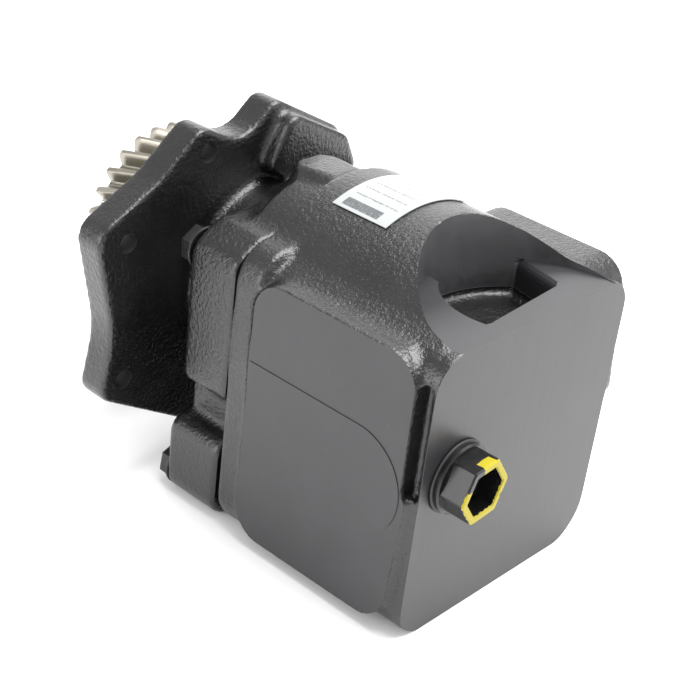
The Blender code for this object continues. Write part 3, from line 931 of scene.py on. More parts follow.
@dataclass
class RearCasting:
    """Port block and round casing: rough cast, painted, then milled on its pads and faces."""

    shop: Workshop
    grid: float = 1.5
    half_width: float = 75.0
    top: float = 48.0
    bottom: float = -107.5
    casing_radius: float = 76.0
    seam: float = 125.85
    left_pad: float = -78.5
    pass_depth: float = 0.4
    right_pad: float = 82.0
    plateau_radius: float = 61.0
    pocket_floor: float = 29.0
    pocket_end: tuple[float, float, float] = (8.0, 22.0, 37.5)
    # heights of the round wall that gets the painted reflection
    painted_sheen_span: tuple[float, float] = (33.0, 80.0)
    pass_end: tuple[float, float, float] = (38.0, -29.5, 29.0)
    bolt_x: float = 64.0
    bolt_z: tuple[float, float] = (36.0, -96.0)
    dowel_x: float = 40.0
    dowel_z: float = -100.0
    control_z: float = -76.0
    plug: tuple[float, float, float] = (-49.0, 0.0, -20.5)
    plug_hole: float = 10.3

    def blank(self) -> bmesh.types.BMesh:
        """Cast skin, a little proud wherever it is milled later.

        Returns:
            The milled-flat mesh, before drilling.
        """
        cast = Blank((-82.5, -3.5, -113.5), (87.5, 129.5, 79.5), self.grid)
        w, low, top = self.half_width, self.bottom, self.top
        block = rounded([(-w, low - 0.6, 19), (w, low - 0.6, 24), (w, top + 1.0, 18), (-w, top + 0.5, 19)])
        cast.join(cast.prism(block, "Y", -1.6, 112, 2.4), 0)
        cast.join(cast.drum(self.casing_radius, "Y", 8, self.seam + 2, edge=3), 5.0)
        rim = rounded(box_corners(-w - 1.5, w + 1.5, low - 0.6, 54, 20))
        cast.join(cast.prism(rim, "Y", 110, self.seam + 2, 3), 4.0)
        pad = rounded([(10, -101.5, 17), (111, -101.5, 17), (111, 45.5, 17), (9.5, 45.5, 17), (5.5, -30, 40)])
        cast.join(cast.prism(pad, "X", self.left_pad - 0.9, -60, 2.2), 2.6)
        far_pad = rounded([(1.5, -24, 5), (98, -24, 14), (98, 51, 14), (7.5, 51, 18)])
        cast.join(cast.prism(far_pad, "X", 60, self.right_pad + 1.2, 2.0), 3.0)
        channel = rounded([(-86, 0.8, 1), (-69.5, 1.6, 2), (-68.5, 7.6, 2), (-86, 10.2, 1)], 3)
        cast.carve(cast.prism(channel, "Z", -26.5, 34, 2.5), 0.6)
        cast.carve(self.pocket(cast), 0.0)
        bm = cast.skin()
        slice_off(bm, (0, 0, 0), (0, -1, 0))
        slice_off(bm, (self.left_pad + self.pass_depth, 0, 0), (-1, 0, 0))
        slice_off(bm, (self.right_pad, 0, 0), (1, 0, 0))
        slice_off(bm, (0, 0, low), (0, 0, -1))
        slice_off(bm, (0, self.seam, 0), (0, 1, 0))
        return bm

    def pocket(self, cast: Blank) -> np.ndarray:
        """Distance to the pocket in the plateau, a little inside the walls that scoop() cuts.

        Args:
            cast: the blank that it is carved from.

        Returns:
            The distance.
        """
        across = cast.flat_distance(cast.axes["X"], cast.axes["Y"], self.pocket_outline())
        return cast.extruded(across + 0.7, "Z", self.pocket_floor, 90, 4.0)

    def pocket_outline(self) -> Outline:
        """Plan of the pocket: a round left end, the plateau's wall in front, a slanted right end.

        Returns:
            The outline in x and y.
        """
        x, y, r = self.pocket_end
        left = [(x + r * math.cos(math.radians(a)), y + r * math.sin(math.radians(a)))
                for a in range(196, 120, -6)]
        wall = self.plateau_radius - 0.06
        front = [(wall * math.cos(math.radians(a)), wall * math.sin(math.radians(a)))
                 for a in range(101, 48, -3)]
        return left + front + [(40.6, 45.2), (34.9, 18.4), (34.0, 16.6), (32.2, 15.9), (-20, 11.5), (-25, 11)]

    def satin_painted_sheen_wall(self, made: bpy.types.Object) -> None:
        """Give the plateau's round wall its satin coat from slot 2, whose lighter colour is a painted
        reflection.

        Args:
            made: the milled casting.
        """
        axis = self.shop.metres(0, 0, 0)
        low, high = (self.shop.metres(0, 0, z).z for z in self.painted_sheen_span)
        for face in made.data.polygons:
            reach = math.hypot(face.center.x - axis.x, face.center.y - axis.y) / MM
            upright = face.material_index == 1 and abs(face.normal.z) < 0.2
            in_front = low < face.center.z < high and face.center.y > axis.y
            if upright and in_front and abs(reach - self.plateau_radius) < 2.0:
                face.material_index = 2

    def scoop(self) -> bmesh.types.BMesh:
        """Smooth upper walls of the pocket, eased outwards at the top of the right end.

        Returns:
            The cutting tool.
        """
        bm = bmesh.new()
        eases = ((33.0, 0.0), (43.0, 0.0), (45.0, 0.35), (46.4, 1.0), (47.4, 1.9), (48.6, 3.0))
        loft(bm, [(z, [(x + (ease if x > 34.5 and y < 46.3 else 0.0), y) for x, y in self.pocket_outline()])
                  for z, ease in eases], "Z")
        return bm

    def build(self) -> bpy.types.Object:
        """Make, mill, drill and dress the casting.

        Returns:
            The finished piece.
        """
        made = self.shop.piece("rear_casting", self.blank(), Finish.CAST, Finish.MILLED, Finish.SATIN)
        top = bmesh.new()
        add_turned(top, rod(self.top, 95, self.plateau_radius), 160, "Z", turn=0.013)
        self.shop.cut(made, top)
        self.shop.cut(made, self.scoop())
        self.satin_painted_sheen_wall(made)
        self.shop.cut(made, self.pass_strip(), "UNION")
        for tool in (self.bores(), self.passages(), self.ports()):
            self.shop.cut(made, tool)
        crease(made)
        self.shop.hand_over(made, Body.HOUSING, "casting_paint", "rear_housing")
        return made

    def pass_strip(self) -> bmesh.types.BMesh:
        """Obround area of the left pad that a second milling pass leaves slightly proud.

        Returns:
            The strip.
        """
        end, mid, r = self.pass_end
        outline = [(110.4, mid - r), (110.4, mid + r)]
        outline += [(end + r * math.cos(a), mid + r * math.sin(a))
                    for a in [math.pi / 2 + math.pi * k / 48 for k in range(49)]]
        bm = bmesh.new()
        add_prism(bm, outline, self.left_pad, self.left_pad + 1.5, "X")
        return bm

    def bores(self) -> bmesh.types.BMesh:
        """Kit cavity, bolt holes, control bore, dowel holes and plug hole.

        Returns:
            The cutting tool.
        """
        bm = bmesh.new()
        add_turned(bm, rod(66, self.seam + 1, 58), 96, turn=0.023)
        for x in (-self.bolt_x, self.bolt_x):
            for z in self.bolt_z:
                add_turned(bm, rod(78, self.seam + 1, 6.4), 24, centre=(x, 0, z), turn=0.04)
        add_turned(bm, rod(70, self.seam + 1, 15), 48, centre=(0, 0, self.control_z), turn=0.06)
        for x in (-self.dowel_x, self.dowel_x):
            add_turned(bm, rod(118, self.seam + 1, 3.3), 24, centre=(x, 0, self.dowel_z), turn=0.03)
        add_turned(bm, rod(-1, 24, self.plug_hole), 48, centre=self.plug, turn=0.02)
        return bm

    def passages(self) -> bmesh.types.BMesh:
        """Rear shaft bore, the two port kidneys and the lever slot.

        Returns:
            The cutting tool.
        """
        bm = bmesh.new()
        add_turned(bm, rod(38, 67, 16.3), 64, turn=0.05)
        for middle, depth in ((180, 46), (0, 40)):
            angles = [math.radians(middle - 40 + 8 * k) for k in range(11)]
            outline = [(36 * math.cos(a), 36 * math.sin(a)) for a in angles]
            outline += [(27 * math.cos(a), 27 * math.sin(a)) for a in reversed(angles)]
            add_prism(bm, outline, depth, 67)
        add_prism(bm, [(-12, -84), (12, -84), (12, -40), (-12, -40)], 104, self.seam + 1)
        return bm

    def ports(self) -> bmesh.types.BMesh:
        """Pressure port in the right pad and suction port in the underside.

        Returns:
            The cutting tool.
        """
        bm = bmesh.new()
        add_turned(bm, rod(31, 84, 10.5), 56, "X", (0, 44, 0), 0.07)
        add_turned(bm, rod(self.bottom - 1, -4, 12.5), 56, "Z", (-36, 49, 0), 0.05)
        return bm


@dataclass
class FrontCasting:
    """Front casting: bolt ears, swash housing and the scalloped mounting flange."""

    shop: Workshop
    grid: float = 1.5
    seam: float = 126.15
    flange: tuple[float, float] = (185.0, 202.0)
    pilot: tuple[float, float] = (50.8, 209.0)
    hole_radius: float = 5.5
    underside: float = -107.5
    bolt_x: float = 64.0
    dowel_x: float = 40.0
    dowel_z: float = -100.0
    control_z: float = -76.0
    seats: tuple[tuple[float, float], ...] = ((36.0, 161.0), (-96.0, 166.0))
    corners: tuple[tuple[float, float, float], ...] = (
        (-114, 44.5, 12), (-101, -14, 60), (-108, -49.5, 10), (-20, -99, 12), (10, -86, 24), (40, -93, 12),
        (100, -54, 12), (98, -18, 40), (113.2, 12, 12), (71, 38, 24), (54, 68, 12), (3, 94, 9), (-19, 74, 20),
        (-48, 89, 9), (-76, 65, 60))
    holes: tuple[tuple[float, float], ...] = (
        (-94, 37), (-93, -42), (-43, 74), (93, 8), (84, -46), (-18, -83))

    def blank(self) -> bmesh.types.BMesh:
        """Cast skin, milled flat on its joint face, pilot and underside.

        Returns:
            The mesh, before drilling.
        """
        cast = Blank((-116.5, 122.5, -113.5), (117.5, 213.5, 98.5), self.grid)
        y0 = self.seam - 2.5
        shell = [(y0 + 2, 0), (y0 + 2, 69), (146, 68), (158, 59.5), (168, 52), (176, 48), (190, 48), (190, 0)]
        cast.join(cast.turned(shell, 2.0), 0)
        flange = rounded(self.corners)
        cast.join(cast.prism(flange, "Y", self.flange[0], self.flange[1] + 1.0, 1.8), 5.0)
        thick = rounded([(-8, 60, 6), (6, 89, 8), (51, 67, 11), (62, 46, 8), (40, 30, 6)])
        cast.join(cast.prism(thick, "Y", 174, self.flange[0] + 1, 2.5), 4.0)
        cast.join(cast.drum(self.pilot[0] + 1.5, "Y", self.flange[1] - 1, self.pilot[1] + 2), 0)
        top = rounded([(-74, -38, 8), (74, -38, 8), (74, 42, 12), (56, 52, 10), (-56, 52, 10), (-74, 42, 12)])
        cast.join(cast.prism(top, "Y", 129.5, 161.4, 2.2), 4.0)
        foot = rounded([(-76, -108.1, 13), (76, -108.1, 13), (76, -60, 10), (-76, -60, 10)])
        cast.join(cast.prism(foot, "Y", 129.5, 166.4, 2.6), 4.0)
        sump = rounded([(-60, -107, 20), (60, -107, 20), (66, -20, 10), (-66, -20, 10)])
        cast.join(cast.prism(sump, "Y", y0, 164, 3.0), 5.0)
        root = rounded([(-58, -20, 4), (58, -20, 4), (52, 49, 8), (-52, 49, 8)])
        cast.join(cast.prism(root, "Y", y0, 140, 2.0), 3.0)
        cast.join(cast.drum(19, "Y", 150, 170, (0, self.control_z)), 4.0)
        boss = rounded([(-10, 128, 3), (10, 128, 3), (14, 158, 8), (-14, 158, 8)])
        cast.join(cast.prism(boss, "Z", 40, 72.6, 2.5), 7.0)
        bm = cast.skin()
        slice_off(bm, (0, self.seam, 0), (0, -1, 0))
        slice_off(bm, (0, self.pilot[1], 0), (0, 1, 0))
        slice_off(bm, (0, 0, self.underside), (0, 0, -1))
        return bm

    def build(self) -> bpy.types.Object:
        """Make, mill, drill and dress the casting.

        Returns:
            The finished piece.
        """
        made = self.shop.piece("front_casting", self.blank(), Finish.CAST, Finish.MILLED)
        tools = [self.facing(), self.drillings(), self.bearing_bore()]
        tools += [self.saddle(), self.cavity()]
        for tool in tools:
            self.shop.cut(made, tool)
        crease(made)
        self.shop.hand_over(made, Body.HOUSING, "casting_paint", "front_housing")
        return made

    def facing(self) -> bmesh.types.BMesh:
        """Tools that turn the flange face and pilot, and spot-face the bolt seats.

        Returns:
            The cutting tool.
        """
        bm = bmesh.new()
        y, high = self.flange[1], self.pilot[1] + 5
        add_turned(bm, [(y, self.pilot[0]), (y, 165), (high, 165), (high, self.pilot[0])], 128, turn=0.02)
        for x in (-self.bolt_x, self.bolt_x):
            for z, seat in self.seats:
                add_turned(bm, rod(seat, seat + 9, 12.6), 48, centre=(x, 0, z), turn=0.03)
        return bm

    def drillings(self) -> bmesh.types.BMesh:
        """Bolt, flange and dowel holes and the control bore.

        Returns:
            The cutting tool.
        """
        bm = bmesh.new()
        for x in (-self.bolt_x, self.bolt_x):
            for z, seat in self.seats:
                add_turned(bm, rod(self.seam - 1, seat + 1, 6.6), 24, centre=(x, 0, z), turn=0.05)
        for x, z in self.holes:
            through = rod(self.flange[0] - 3, self.flange[1] + 1, self.hole_radius)
            add_turned(bm, through, 40, centre=(x, 0, z))
        for x in (-self.dowel_x, self.dowel_x):
            add_turned(bm, rod(self.seam - 1, 132, 3.3), 24, centre=(x, 0, self.dowel_z), turn=0.05)
        add_turned(bm, rod(self.seam - 1, 164, 13.4), 48, centre=(0, 0, self.control_z), turn=0.07)
        return bm

    def bearing_bore(self) -> bmesh.types.BMesh:
        """Stepped bore of the front bearing and shaft seal, and the lever slot.

        Returns:
            The cutting tool.
        """
        bm = bmesh.new()
        high = self.pilot[1] + 1
        stepped = [(150, 0), (150, 22), (170.5, 22), (170.5, 31.3), (188.5, 31.3), (188.5, 24.3),
                   (high, 24.3), (high, 0)]
        add_turned(bm, stepped, 96, turn=0.04)
        add_prism(bm, [(-9.5, -85), (9.5, -85), (9.5, -40), (-9.5, -40)], self.seam - 1, 147)
        return bm

    def saddle(self) -> bmesh.types.BMesh:
        """Round saddle that the swash cradle sits in.

        Returns:
            The cutting tool.
        """
        bm = bmesh.new()
        add_turned(bm, rod(-44.5, 44.5, 34.9), 96, "X", (0, 128, 0), 0.02)
        return bm

    def cavity(self) -> bmesh.types.BMesh:
        """Cavity that the swash plate tilts in.

        Returns:
            The cutting tool.
        """
        bm = bmesh.new()
        add_turned(bm, rod(self.seam - 1, 157, 58), 96, turn=0.031)
        return bm


# ---------------------------------------------------------------- turned and repeated pieces


def hexagon(across_flats: float, centre: tuple[float, float] = (0.0, 0.0), turn: float = 0.0,
            corner: float = 0.5) -> Outline:
    """Hexagon with slightly rounded corners.

    Args:
        across_flats: distance between flats.
        centre: its middle, across the axis.
        turn: rotation in radians.
        corner: corner radius.

    Returns:
        The outline.
    """
    points = ring_points(across_flats / math.sqrt(3), 6, centre, turn)
    return rounded([(u, v, corner) for u, v in points], 3)


class Repeater:
    """Geometry Nodes tree that turns copies of one mesh about Y, or sets them on points, and dresses them."""

    def __init__(self, name: str) -> None:
        """Start a tree with its named inputs.

        Args:
            name: the tree's name.
        """
        self.tree = bpy.data.node_groups.new(name, "GeometryNodeTree")
        self.sockets: dict[str, str] = {}
        face = self.tree.interface
        face.new_socket("Geometry", in_out="INPUT", socket_type="NodeSocketGeometry")
        face.new_socket("Geometry", in_out="OUTPUT", socket_type="NodeSocketGeometry")
        for label, kind in (("Copies", "NodeSocketInt"), ("Twist", "NodeSocketFloat"),
                            ("Start", "NodeSocketFloat"), ("Part", "NodeSocketObject"),
                            ("Finish", "NodeSocketMaterial")):
            self.sockets[label] = face.new_socket(label, in_out="INPUT", socket_type=kind).identifier
        self.graph = Graph(self.tree)
        self.entry = self.tree.nodes.new("NodeGroupInput")

    def given(self, label: str) -> Wire:
        """One named input as a wire."""
        return Wire(self.graph, self.entry.outputs[label])

    def finish(self, geometry: Wire) -> None:
        """Realize the copies, give them their finish and end the tree.

        Args:
            geometry: the copies.
        """
        real = self.graph.add("GeometryNodeRealizeInstances", {}, [geometry])
        merged = self.graph.add("GeometryNodeMergeByDistance", {}, {"Geometry": real, "Distance": 2e-6})
        finish = self.given("Finish")
        dressed = self.graph.add("GeometryNodeSetMaterial", {}, {"Geometry": merged, "Material": finish})
        self.graph.node("NodeGroupOutput", {}, [dressed])

    def about_axis(self) -> None:
        """Copies of the incoming mesh, evenly turned about the shaft axis and then twisted along it."""
        g = self.graph
        points = g.add("GeometryNodePoints", {}, {"Count": self.given("Copies")})
        number = g.add("GeometryNodeInputIndex", {}, {})
        step = number * (2 * math.pi) / self.given("Copies")
        turn = g.add("ShaderNodeCombineXYZ", {}, {"Y": step})
        pitch = self.given("Geometry")
        copies = g.add("GeometryNodeInstanceOnPoints", {}, {"Points": points, "Instance": pitch,
                                                          "Rotation": turn})
        real = g.add("GeometryNodeRealizeInstances", {}, [copies])
        spot = g.add("GeometryNodeInputPosition", {}, {})
        along = Wire(g, g.node("ShaderNodeSeparateXYZ", {}, [spot]).outputs["Y"])
        angle = (along - self.given("Start")) * self.given("Twist")
        twisted = g.add("ShaderNodeVectorRotate", {"rotation_type": "Y_AXIS"},
                        {"Vector": spot, "Angle": angle})
        self.finish(g.add("GeometryNodeSetPosition", {}, {"Geometry": real, "Position": twisted}))

    def on_points(self) -> None:
        """One copy of the part on every point, each turned a little further than the last."""
        g = self.graph
        number = g.add("GeometryNodeInputIndex", {}, {})
        turn = g.add("ShaderNodeCombineXYZ", {}, {"Y": number * self.given("Twist") + self.given("Start")})
        part = g.add("GeometryNodeObjectInfo", {}, {"Object": self.given("Part")}, "Geometry")
        points = self.given("Geometry")
        self.finish(g.add("GeometryNodeInstanceOnPoints", {}, {"Points": points, "Instance": part,
                                                             "Rotation": turn}))

    def run(self, target: bpy.types.Object, **values: Any) -> None:
        """Apply the tree to an object and keep the resulting mesh.

        Args:
            target: the object.
            values: the named inputs.
        """
        modifier = target.modifiers.new("repeat", "NODES")
        modifier.node_group = self.tree
        for label, value in values.items():
            modifier[self.sockets[label]] = value
        bake(target)


@dataclass
class HousingBolts:
    """Four hexagon head screws that clamp the castings together."""

    shop: Workshop
    spots: tuple[tuple[float, float, float], ...] = (
        (-64, 161, 36), (64, 161, 36), (-64, 166, -96), (64, 166, -96))
    shank: float = 6.0
    across_flats: float = 18.0
    head: float = 8.7

    def template(self) -> bpy.types.Object:
        """One bolt with its seat at the origin, pointing along Y.

        Returns:
            The template object.
        """
        bm = bmesh.new()
        washer = [(0.3, self.shank), (0.3, 11.0), (0.6, 11.4), (1.5, 11.4), (1.9, 11.0), (1.9, 0.0)]
        add_turned(bm, [(-76.7, 0), (-76.7, 5), (-75.7, self.shank)] + washer, 48)
        made = self.shop.piece("bolt_template", bm, Finish.FASTENER, Finish.FASTENER)
        hexed = bmesh.new()
        low, high = 1.4, 0.3 + self.head
        big, small = hexagon(self.across_flats, corner=0.6), hexagon(self.across_flats * 0.9, corner=0.6)
        loft(hexed, [(low, big), (high - 1.1, big), (high, small)])
        dish = bmesh.new()
        add_turned(dish, [(high - 0.7, 0), (high - 0.7, 5.4), (high + 1, 7.4), (high + 1, 0)], 48)
        self.shop.cut(made, hexed, "UNION")
        self.shop.cut(made, dish)
        crease(made)
        made.data.transform(Matrix.Translation(self.shop.origin * MM))
        return made

    def build(self) -> bpy.types.Object:
        """Set the bolts on their seats.

        Returns:
            The finished piece.
        """
        template = self.template()
        mesh = bpy.data.meshes.new("housing_bolts")
        mesh.from_pydata([self.shop.metres(*spot) for spot in self.spots], [], [])
        made = bpy.data.objects.new("housing_bolts", mesh)
        bpy.context.scene.collection.objects.link(made)
        repeat = Repeater("set_bolts")
        repeat.on_points()
        repeat.run(made, Twist=0.09, Start=0.47, Part=template, Finish=self.shop.paint.get(Finish.FASTENER))
        bpy.data.objects.remove(template)
        nodes = ["housing_bolt_%d" % (k + 1) for k in range(len(self.spots))]
        self.shop.hand_over(made, Body.HOUSING, "bolt_black", *nodes)
        return made


@dataclass
class DriveGear:
    """Helical drive gear on the shaft nose, and the nut and shaft that hold it."""

    shop: Workshop
    teeth: int = 27
    tip: float = 53.0
    root: float = 45.6
    pitch_radius: float = 49.5
    bore: float = 14.8
    ends: tuple[float, float] = (229.0, 265.0)
    helix: float = 15.0
    phase: float = 0.42

    def tooth(self) -> Outline:
        """One pitch of the rim.

        Returns:
            Points of (fraction of the pitch, radius).
        """
        half = [(0.0, self.tip), (0.085, self.tip), (0.112, self.tip - 0.35), (0.155, 51.9), (0.205, 50.5),
                (0.255, 49.0), (0.30, 47.6), (0.335, 46.6), (0.375, 45.85), (0.42, self.root),
                (0.5, self.root)]
        return [(-f, r) for f, r in reversed(half)] + half[1:]

    def build(self) -> bpy.types.Object:
        """Cut one pitch of the gear and let it repeat round the shaft.

        Returns:
            The finished piece.
        """
        y0, y1 = self.ends
        pitch = 2 * math.pi / self.teeth
        profile = self.tooth()
        layers: list[tuple[float, float | None, float]] = [
            (y0 + 3, 19.0, 0), (y0 + 3, 39.5, 0), (y0, 41.5, 0)]
        layers += [(y0, None, -1.0), (y0 + 1.0, None, 0.0)]
        layers += [(y0 + 1.0 + (y1 - y0 - 2.0) * k / 8, None, 0.0) for k in range(1, 9)]
        layers += [(y1, None, -1.0), (y1, 41.5, 0), (y1 - 3, 39.5, 0), (y1 - 3, 23.5, 0), (y1, 21.5, 0)]
        layers += [(y1, self.bore + 0.8, 0), (y1 - 0.8, self.bore, 0), (y0 + 0.8, self.bore, 0),
                   (y0, self.bore + 0.8, 0), (y0, 18.9, 0)]
        bm = bmesh.new()
        rings = []
        for y, radius, shrink in layers:
            ring = []
            for f, r in profile:
                a = (f + self.phase) * pitch
                reach = radius if radius is not None else max(self.root - 0.6, r + shrink)
                ring.append(bm.verts.new((reach * math.cos(a), y, reach * math.sin(a))))
            rings.append(ring)
        for one, two in zip(rings, rings[1:] + rings[:1]):
            for k in range(len(profile) - 1):
                bm.faces.new((one[k], one[k + 1], two[k + 1], two[k])).smooth = True
        made = self.shop.piece("drive_gear_cut", bm)
        axis = self.shop.metres(0, 0, 0)
        made.data.transform(Matrix.Translation((0, 0, -axis.z)))
        repeat = Repeater("turn_teeth")
        repeat.about_axis()
        lead = -math.tan(math.radians(self.helix)) / (self.pitch_radius * MM)
        repeat.run(made, Copies=self.teeth, Twist=lead, Start=self.shop.metres(0, y1, 0).y,
                   Finish=self.shop.paint.get(Finish.GEAR))
        made.data.transform(Matrix.Translation((0, 0, axis.z)))
        bm = bmesh.new()
        bm.from_mesh(made.data)
        bmesh.ops.recalc_face_normals(bm, faces=bm.faces[:])
        bm.to_mesh(made.data)
        bm.free()
        made.data.materials.append(self.shop.paint.get(Finish.GEAR))
        key = bmesh.new()
        add_prism(key, [(-4.3, 12), (4.3, 12), (4.3, 18.4), (-4.3, 18.4)], y0 - 1, y1 + 1)
        self.shop.cut(made, key)
        crease(made, 32)
        self.shop.hand_over(made, Body.ROTOR, "gear_steel", "drive_gear")
        return made

    def build_nut(self) -> bpy.types.Object:
        """Chamfered shaft nut.

        Returns:
            The finished piece.
        """
        bm = bmesh.new()
        big, small = hexagon(32, turn=0.1, corner=0.8), hexagon(29.6, turn=0.1, corner=0.8)
        loft(bm, [(268.9, small), (270.2, big), (278.7, big), (280, small)])
        made = self.shop.piece("shaft_nut", bm, Finish.GROUND, Finish.GROUND)
        hole = bmesh.new()
        add_turned(hole, [(268, 0), (268, 11.6), (269.6, 10.2), (279.3, 10.2), (281, 11.8), (281, 0)], 64)
        self.shop.cut(made, hole)
        crease(made)
        self.shop.hand_over(made, Body.ROTOR, "ground_steel", "gear_nut")
        return made

    def build_shaft(self) -> bpy.types.Object:
        """Drive shaft with its bearing seat, shoulder, key slot and threaded nose.

        Returns:
            The finished piece.
        """
        thread: Outline = []
        y = 269.0
        while y < 281.4:
            thread += [(y, 9.75), (y + 0.75, 9.1)]
            y += 1.5
        profile = [(41, 0), (41, 11.4), (42, 12.4), (150, 12.4), (150, 17), (150.5, 17.5), (169.3, 17.5),
                   (169.8, 17), (169.8, 15), (214, 15), (214, 18), (214.5, 18.5), (228.1, 18.5), (228.6, 18),
                   (228.6, 14.5), (265.4, 14.5), (265.4, 9.8)]
        profile += thread + [(281.6, 9.6), (283, 8.3), (283, 3.4), (280, 0)]
        bm = bmesh.new()
        add_turned(bm, profile, 72)
        made = self.shop.piece("main_shaft", bm, Finish.GROUND, Finish.GROUND)
        slot = bmesh.new()
        add_prism(slot, [(-4.3, 11), (4.3, 11), (4.3, 16), (-4.3, 16)], 234, 262)
        self.shop.cut(made, slot)
        crease(made)
        self.shop.hand_over(made, Body.ROTOR, "ground_steel", "drive_shaft")
        return made


@dataclass
class RearPlug:
    """Black socket plug in the rear face, with its seal ring."""

    shop: Workshop
    centre: tuple[float, float] = (-49.0, -20.5)
    front: float = -18.3
    across_flats: float = 30.0
    socket: float = 22.5
    chamfer: float = 1.6
    turn: float = 0.105

    def hexagon_at(self, flats: float) -> Outline:
        """Hexagon of the plug's own place and turn."""
        return hexagon(flats, self.centre, self.turn, 1.6)

    def build(self) -> bpy.types.Object:
        """Turn the flanged shank, add the hexagon and broach its socket.

        Returns:
            The finished piece.
        """
        x, z = self.centre
        bm = bmesh.new()
        add_turned(bm, [(20, 0), (20, 9.2), (19.2, 10), (-1.9, 10), (-1.9, 18.0), (-2.3, 18.5), (-3.9, 18.5),
                        (-4.8, 17.6), (-4.8, 0)], 72, centre=(x, 0, z))
        made = self.shop.piece("socket_plug", bm)
        paint = PlugPaint(self.shop.metres(x, 0, z), self.front * MM)
        material = paint.make("finish_plug")
        for _ in range(2):
            made.data.materials.append(material)
        body = bmesh.new()
        full, eased = self.hexagon_at(self.across_flats), self.hexagon_at(self.across_flats - self.chamfer)
        loft(body, [(self.front, eased), (self.front + 0.9, full), (-4.2, full)])
        self.shop.cut(made, body, "UNION")
        well = bmesh.new()
        inner, flared = self.hexagon_at(self.socket), self.hexagon_at(self.socket + 2.7)
        loft(well, [(self.front - 1.0, flared), (self.front + 0.8, inner), (-7.0, inner)])
        self.shop.cut(made, well)
        crease(made, 30)
        self.shop.hand_over(made, Body.HOUSING, "plug_black", "rear_plug")
        return made

    def build_seal(self) -> bpy.types.Object:
        """Bonded seal ring under the plug.

        Returns:
            The finished piece.
        """
        bm = bmesh.new()
        add_turned(bm, tube(-1.6, -0.3, 10.5, 19.4, 0.45), 72, centre=(self.centre[0], 0, self.centre[1]))
        made = self.shop.piece("plug_ring", bm, Finish.RUBBER)
        crease(made, 50)
        self.shop.hand_over(made, Body.HOUSING, "seal_rubber", "plug_seal")
        return made


@dataclass
class NamePlate:
    """Curved foil label on the round casing."""

    shop: Workshop
    radius: float = 76.3
    thickness: float = 0.5
    span: tuple[float, float] = (62.0, 112.0)
    along: tuple[float, float] = (77.0, 112.0)

    def build(self) -> bpy.types.Object:
        """Bend a plain plate round the casing and print its generic bars.

        Returns:
            The finished piece.
        """
        angles = [math.radians(self.span[0] + (self.span[1] - self.span[0]) * k / 64) for k in range(65)]
        outer = self.radius + self.thickness
        outline = [(outer * math.cos(a), outer * math.sin(a)) for a in angles]
        outline += [(self.radius * math.cos(a), self.radius * math.sin(a)) for a in reversed(angles)]
        bm = bmesh.new()
        add_prism(bm, outline, self.along[0], self.along[1])
        for face in bm.faces:
            face.smooth = len(face.verts) == 4
        made = self.shop.piece("foil_label", bm)
        low = self.shop.metres(0, self.along[0], 0)
        foil = LabelFoil(low.x, low.z, outer * MM, low.y)
        made.data.materials.append(foil.make("finish_label"))
        crease(made)
        self.shop.hand_over(made, Body.HOUSING, "label_foil", "name_label")
        return made


@dataclass
class FrameDressing:
    """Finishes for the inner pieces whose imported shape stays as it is."""

    shop: Workshop
    rules: tuple[tuple[str, Finish], ...] = (
        ("dowel", Finish.GROUND), ("housing_seal", Finish.RUBBER), ("bearing", Finish.GROUND),
        ("shaft_seal", Finish.RUBBER), ("seal_circlip", Finish.SPRING), ("rear_bushing", Finish.BRONZE),
        ("valve_plate", Finish.BRONZE), ("cradle", Finish.BRONZE), ("spring_seat", Finish.GROUND),
        ("spring", Finish.SPRING), ("gear_key", Finish.GROUND), ("gear_washer", Finish.GROUND),
        ("ball_guide", Finish.GROUND), ("slipper", Finish.BRONZE), ("piston", Finish.GROUND),
        ("cylinder_barrel", Finish.BRONZE), ("retainer", Finish.GROUND), ("swash", Finish.GROUND))

    def dress(self, nodes: dict[str, bpy.types.Object]) -> None:
        """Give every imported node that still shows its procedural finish.

        Args:
            nodes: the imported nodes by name.
        """
        for name, node in sorted(nodes.items()):
            finish = next((f for key, f in self.rules if key in name), Finish.GROUND)
            node.data.materials.clear()
            node.data.materials.append(self.shop.paint.get(finish))
            LOG.info("%-22s keeps its packed shape, %s", name, finish.name)


# ---------------------------------------------------------------- studio


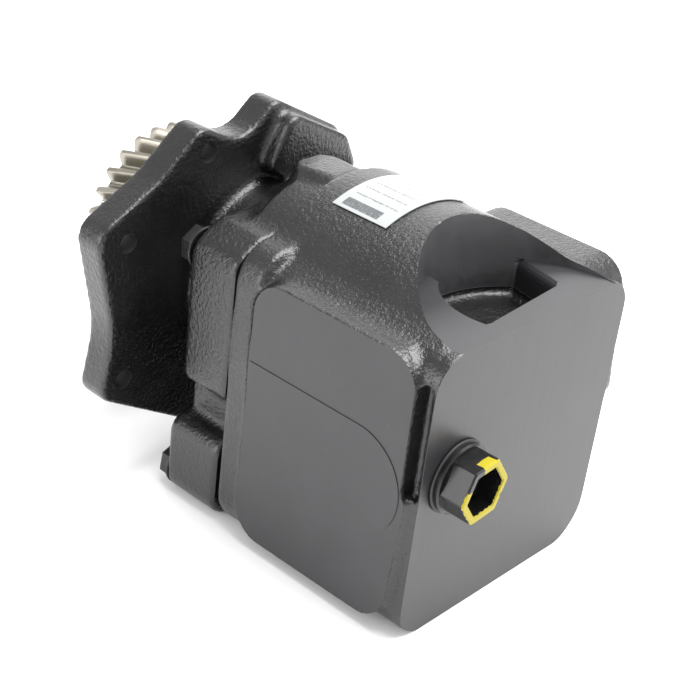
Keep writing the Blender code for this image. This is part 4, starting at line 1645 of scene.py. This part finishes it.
@dataclass
class Studio:
    """Pale floor, soft boxes and the camera."""

    camera_at: Vector = field(default_factory=lambda: Vector((-0.5613, -0.47805, 0.4869)))
    right: Vector = field(default_factory=lambda: Vector((0.6745, -0.7297, 0.1125)))
    up: Vector = field(default_factory=lambda: Vector((0.2908, 0.4026, 0.8679)))
    lens: float = 80.7

    def floor(self) -> None:
        """Large pale floor just under the pump."""
        bm = bmesh.new()
        bmesh.ops.create_grid(bm, x_segments=8, y_segments=8, size=6.0)
        mesh = bpy.data.meshes.new("floor")
        bm.to_mesh(mesh)
        bm.free()
        floor = bpy.data.objects.new("floor", mesh)
        bpy.context.scene.collection.objects.link(floor)
        sh = Shader("floor_pale")
        cloud = sh.noise(3.0, 2.0)
        sh.close(Base_Color=sh.mix(cloud, grey(0.86), grey(0.90)), Roughness=0.6 + cloud * 0.1)
        mesh.materials.append(sh.material)
        mesh.transform(Matrix.Translation((0, 0, -0.0006)))

    def lamp(self, name: str, at: Sequence[float], toward: Sequence[float], size: float,
             power: float) -> None:
        """Hang one soft box.

        Args:
            name: the lamp's name.
            at: its place.
            toward: the point it faces.
            size: side of the box in metres.
            power: watts.
        """
        light = bpy.data.lights.new(name, "AREA")
        light.shape = "SQUARE"
        light.size = size
        light.energy = power
        lamp = bpy.data.objects.new(name, light)
        lamp.location = at
        lamp.rotation_euler = (Vector(toward) - Vector(at)).to_track_quat("-Z", "Y").to_euler()
        bpy.context.scene.collection.objects.link(lamp)

    def lights(self) -> None:
        """Plain white surroundings and four soft boxes."""
        world = bpy.data.worlds.new("studio_air")
        world.use_nodes = True
        world.node_tree.nodes["Background"].inputs["Color"].default_value = grey(1.0)
        world.node_tree.nodes["Background"].inputs["Strength"].default_value = 1.0
        bpy.context.scene.world = world
        middle = (0.0, 0.0, 0.1)
        self.lamp("soft_top", (0.35, -0.25, 1.5), middle, 1.3, 60.0)
        self.lamp("soft_far", (1.3, 1.1, 0.9), middle, 1.2, 8.0)
        self.lamp("soft_right", (1.1, -1.3, 0.9), middle, 1.0, 8.5)
        self.lamp("soft_left", (-0.95, 0.25, 0.38), (-0.2, 0.0, 0.0), 0.6, 6.0)

    def camera(self) -> None:
        """Camera with its frame axes given directly."""
        data = bpy.data.cameras.new("camera")
        data.lens = self.lens
        data.sensor_width = 36.0
        data.clip_start = 0.02
        camera = bpy.data.objects.new("camera", data)
        back = self.right.cross(self.up).normalized()
        side = self.right.normalized()
        turn = Matrix((side, back.cross(side), back)).transposed()
        camera.matrix_world = Matrix.Translation(self.camera_at) @ turn.to_4x4()
        bpy.context.scene.collection.objects.link(camera)
        bpy.context.scene.camera = camera

    def build(self) -> None:
        """Set up floor, lights and camera."""
        self.floor()
        self.lights()
        self.camera()
        bpy.context.scene.view_settings.view_transform = "Standard"


def main() -> None:
    """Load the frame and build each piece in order."""
    logging.basicConfig(level=logging.INFO, format="%(name)s: %(message)s")
    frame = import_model()
    shop = Workshop()
    FrameDressing(shop).dress(frame["nodes"])
    RearCasting(shop).build()
    FrontCasting(shop).build()
    HousingBolts(shop).build()
    gear = DriveGear(shop)
    gear.build()
    gear.build_nut()
    gear.build_shaft()
    plug = RearPlug(shop)
    plug.build()
    plug.build_seal()
    NamePlate(shop).build()
    Studio().build()
    LOG.info("%d pieces made", len(shop.done))


if __name__ == "__main__":
    main()
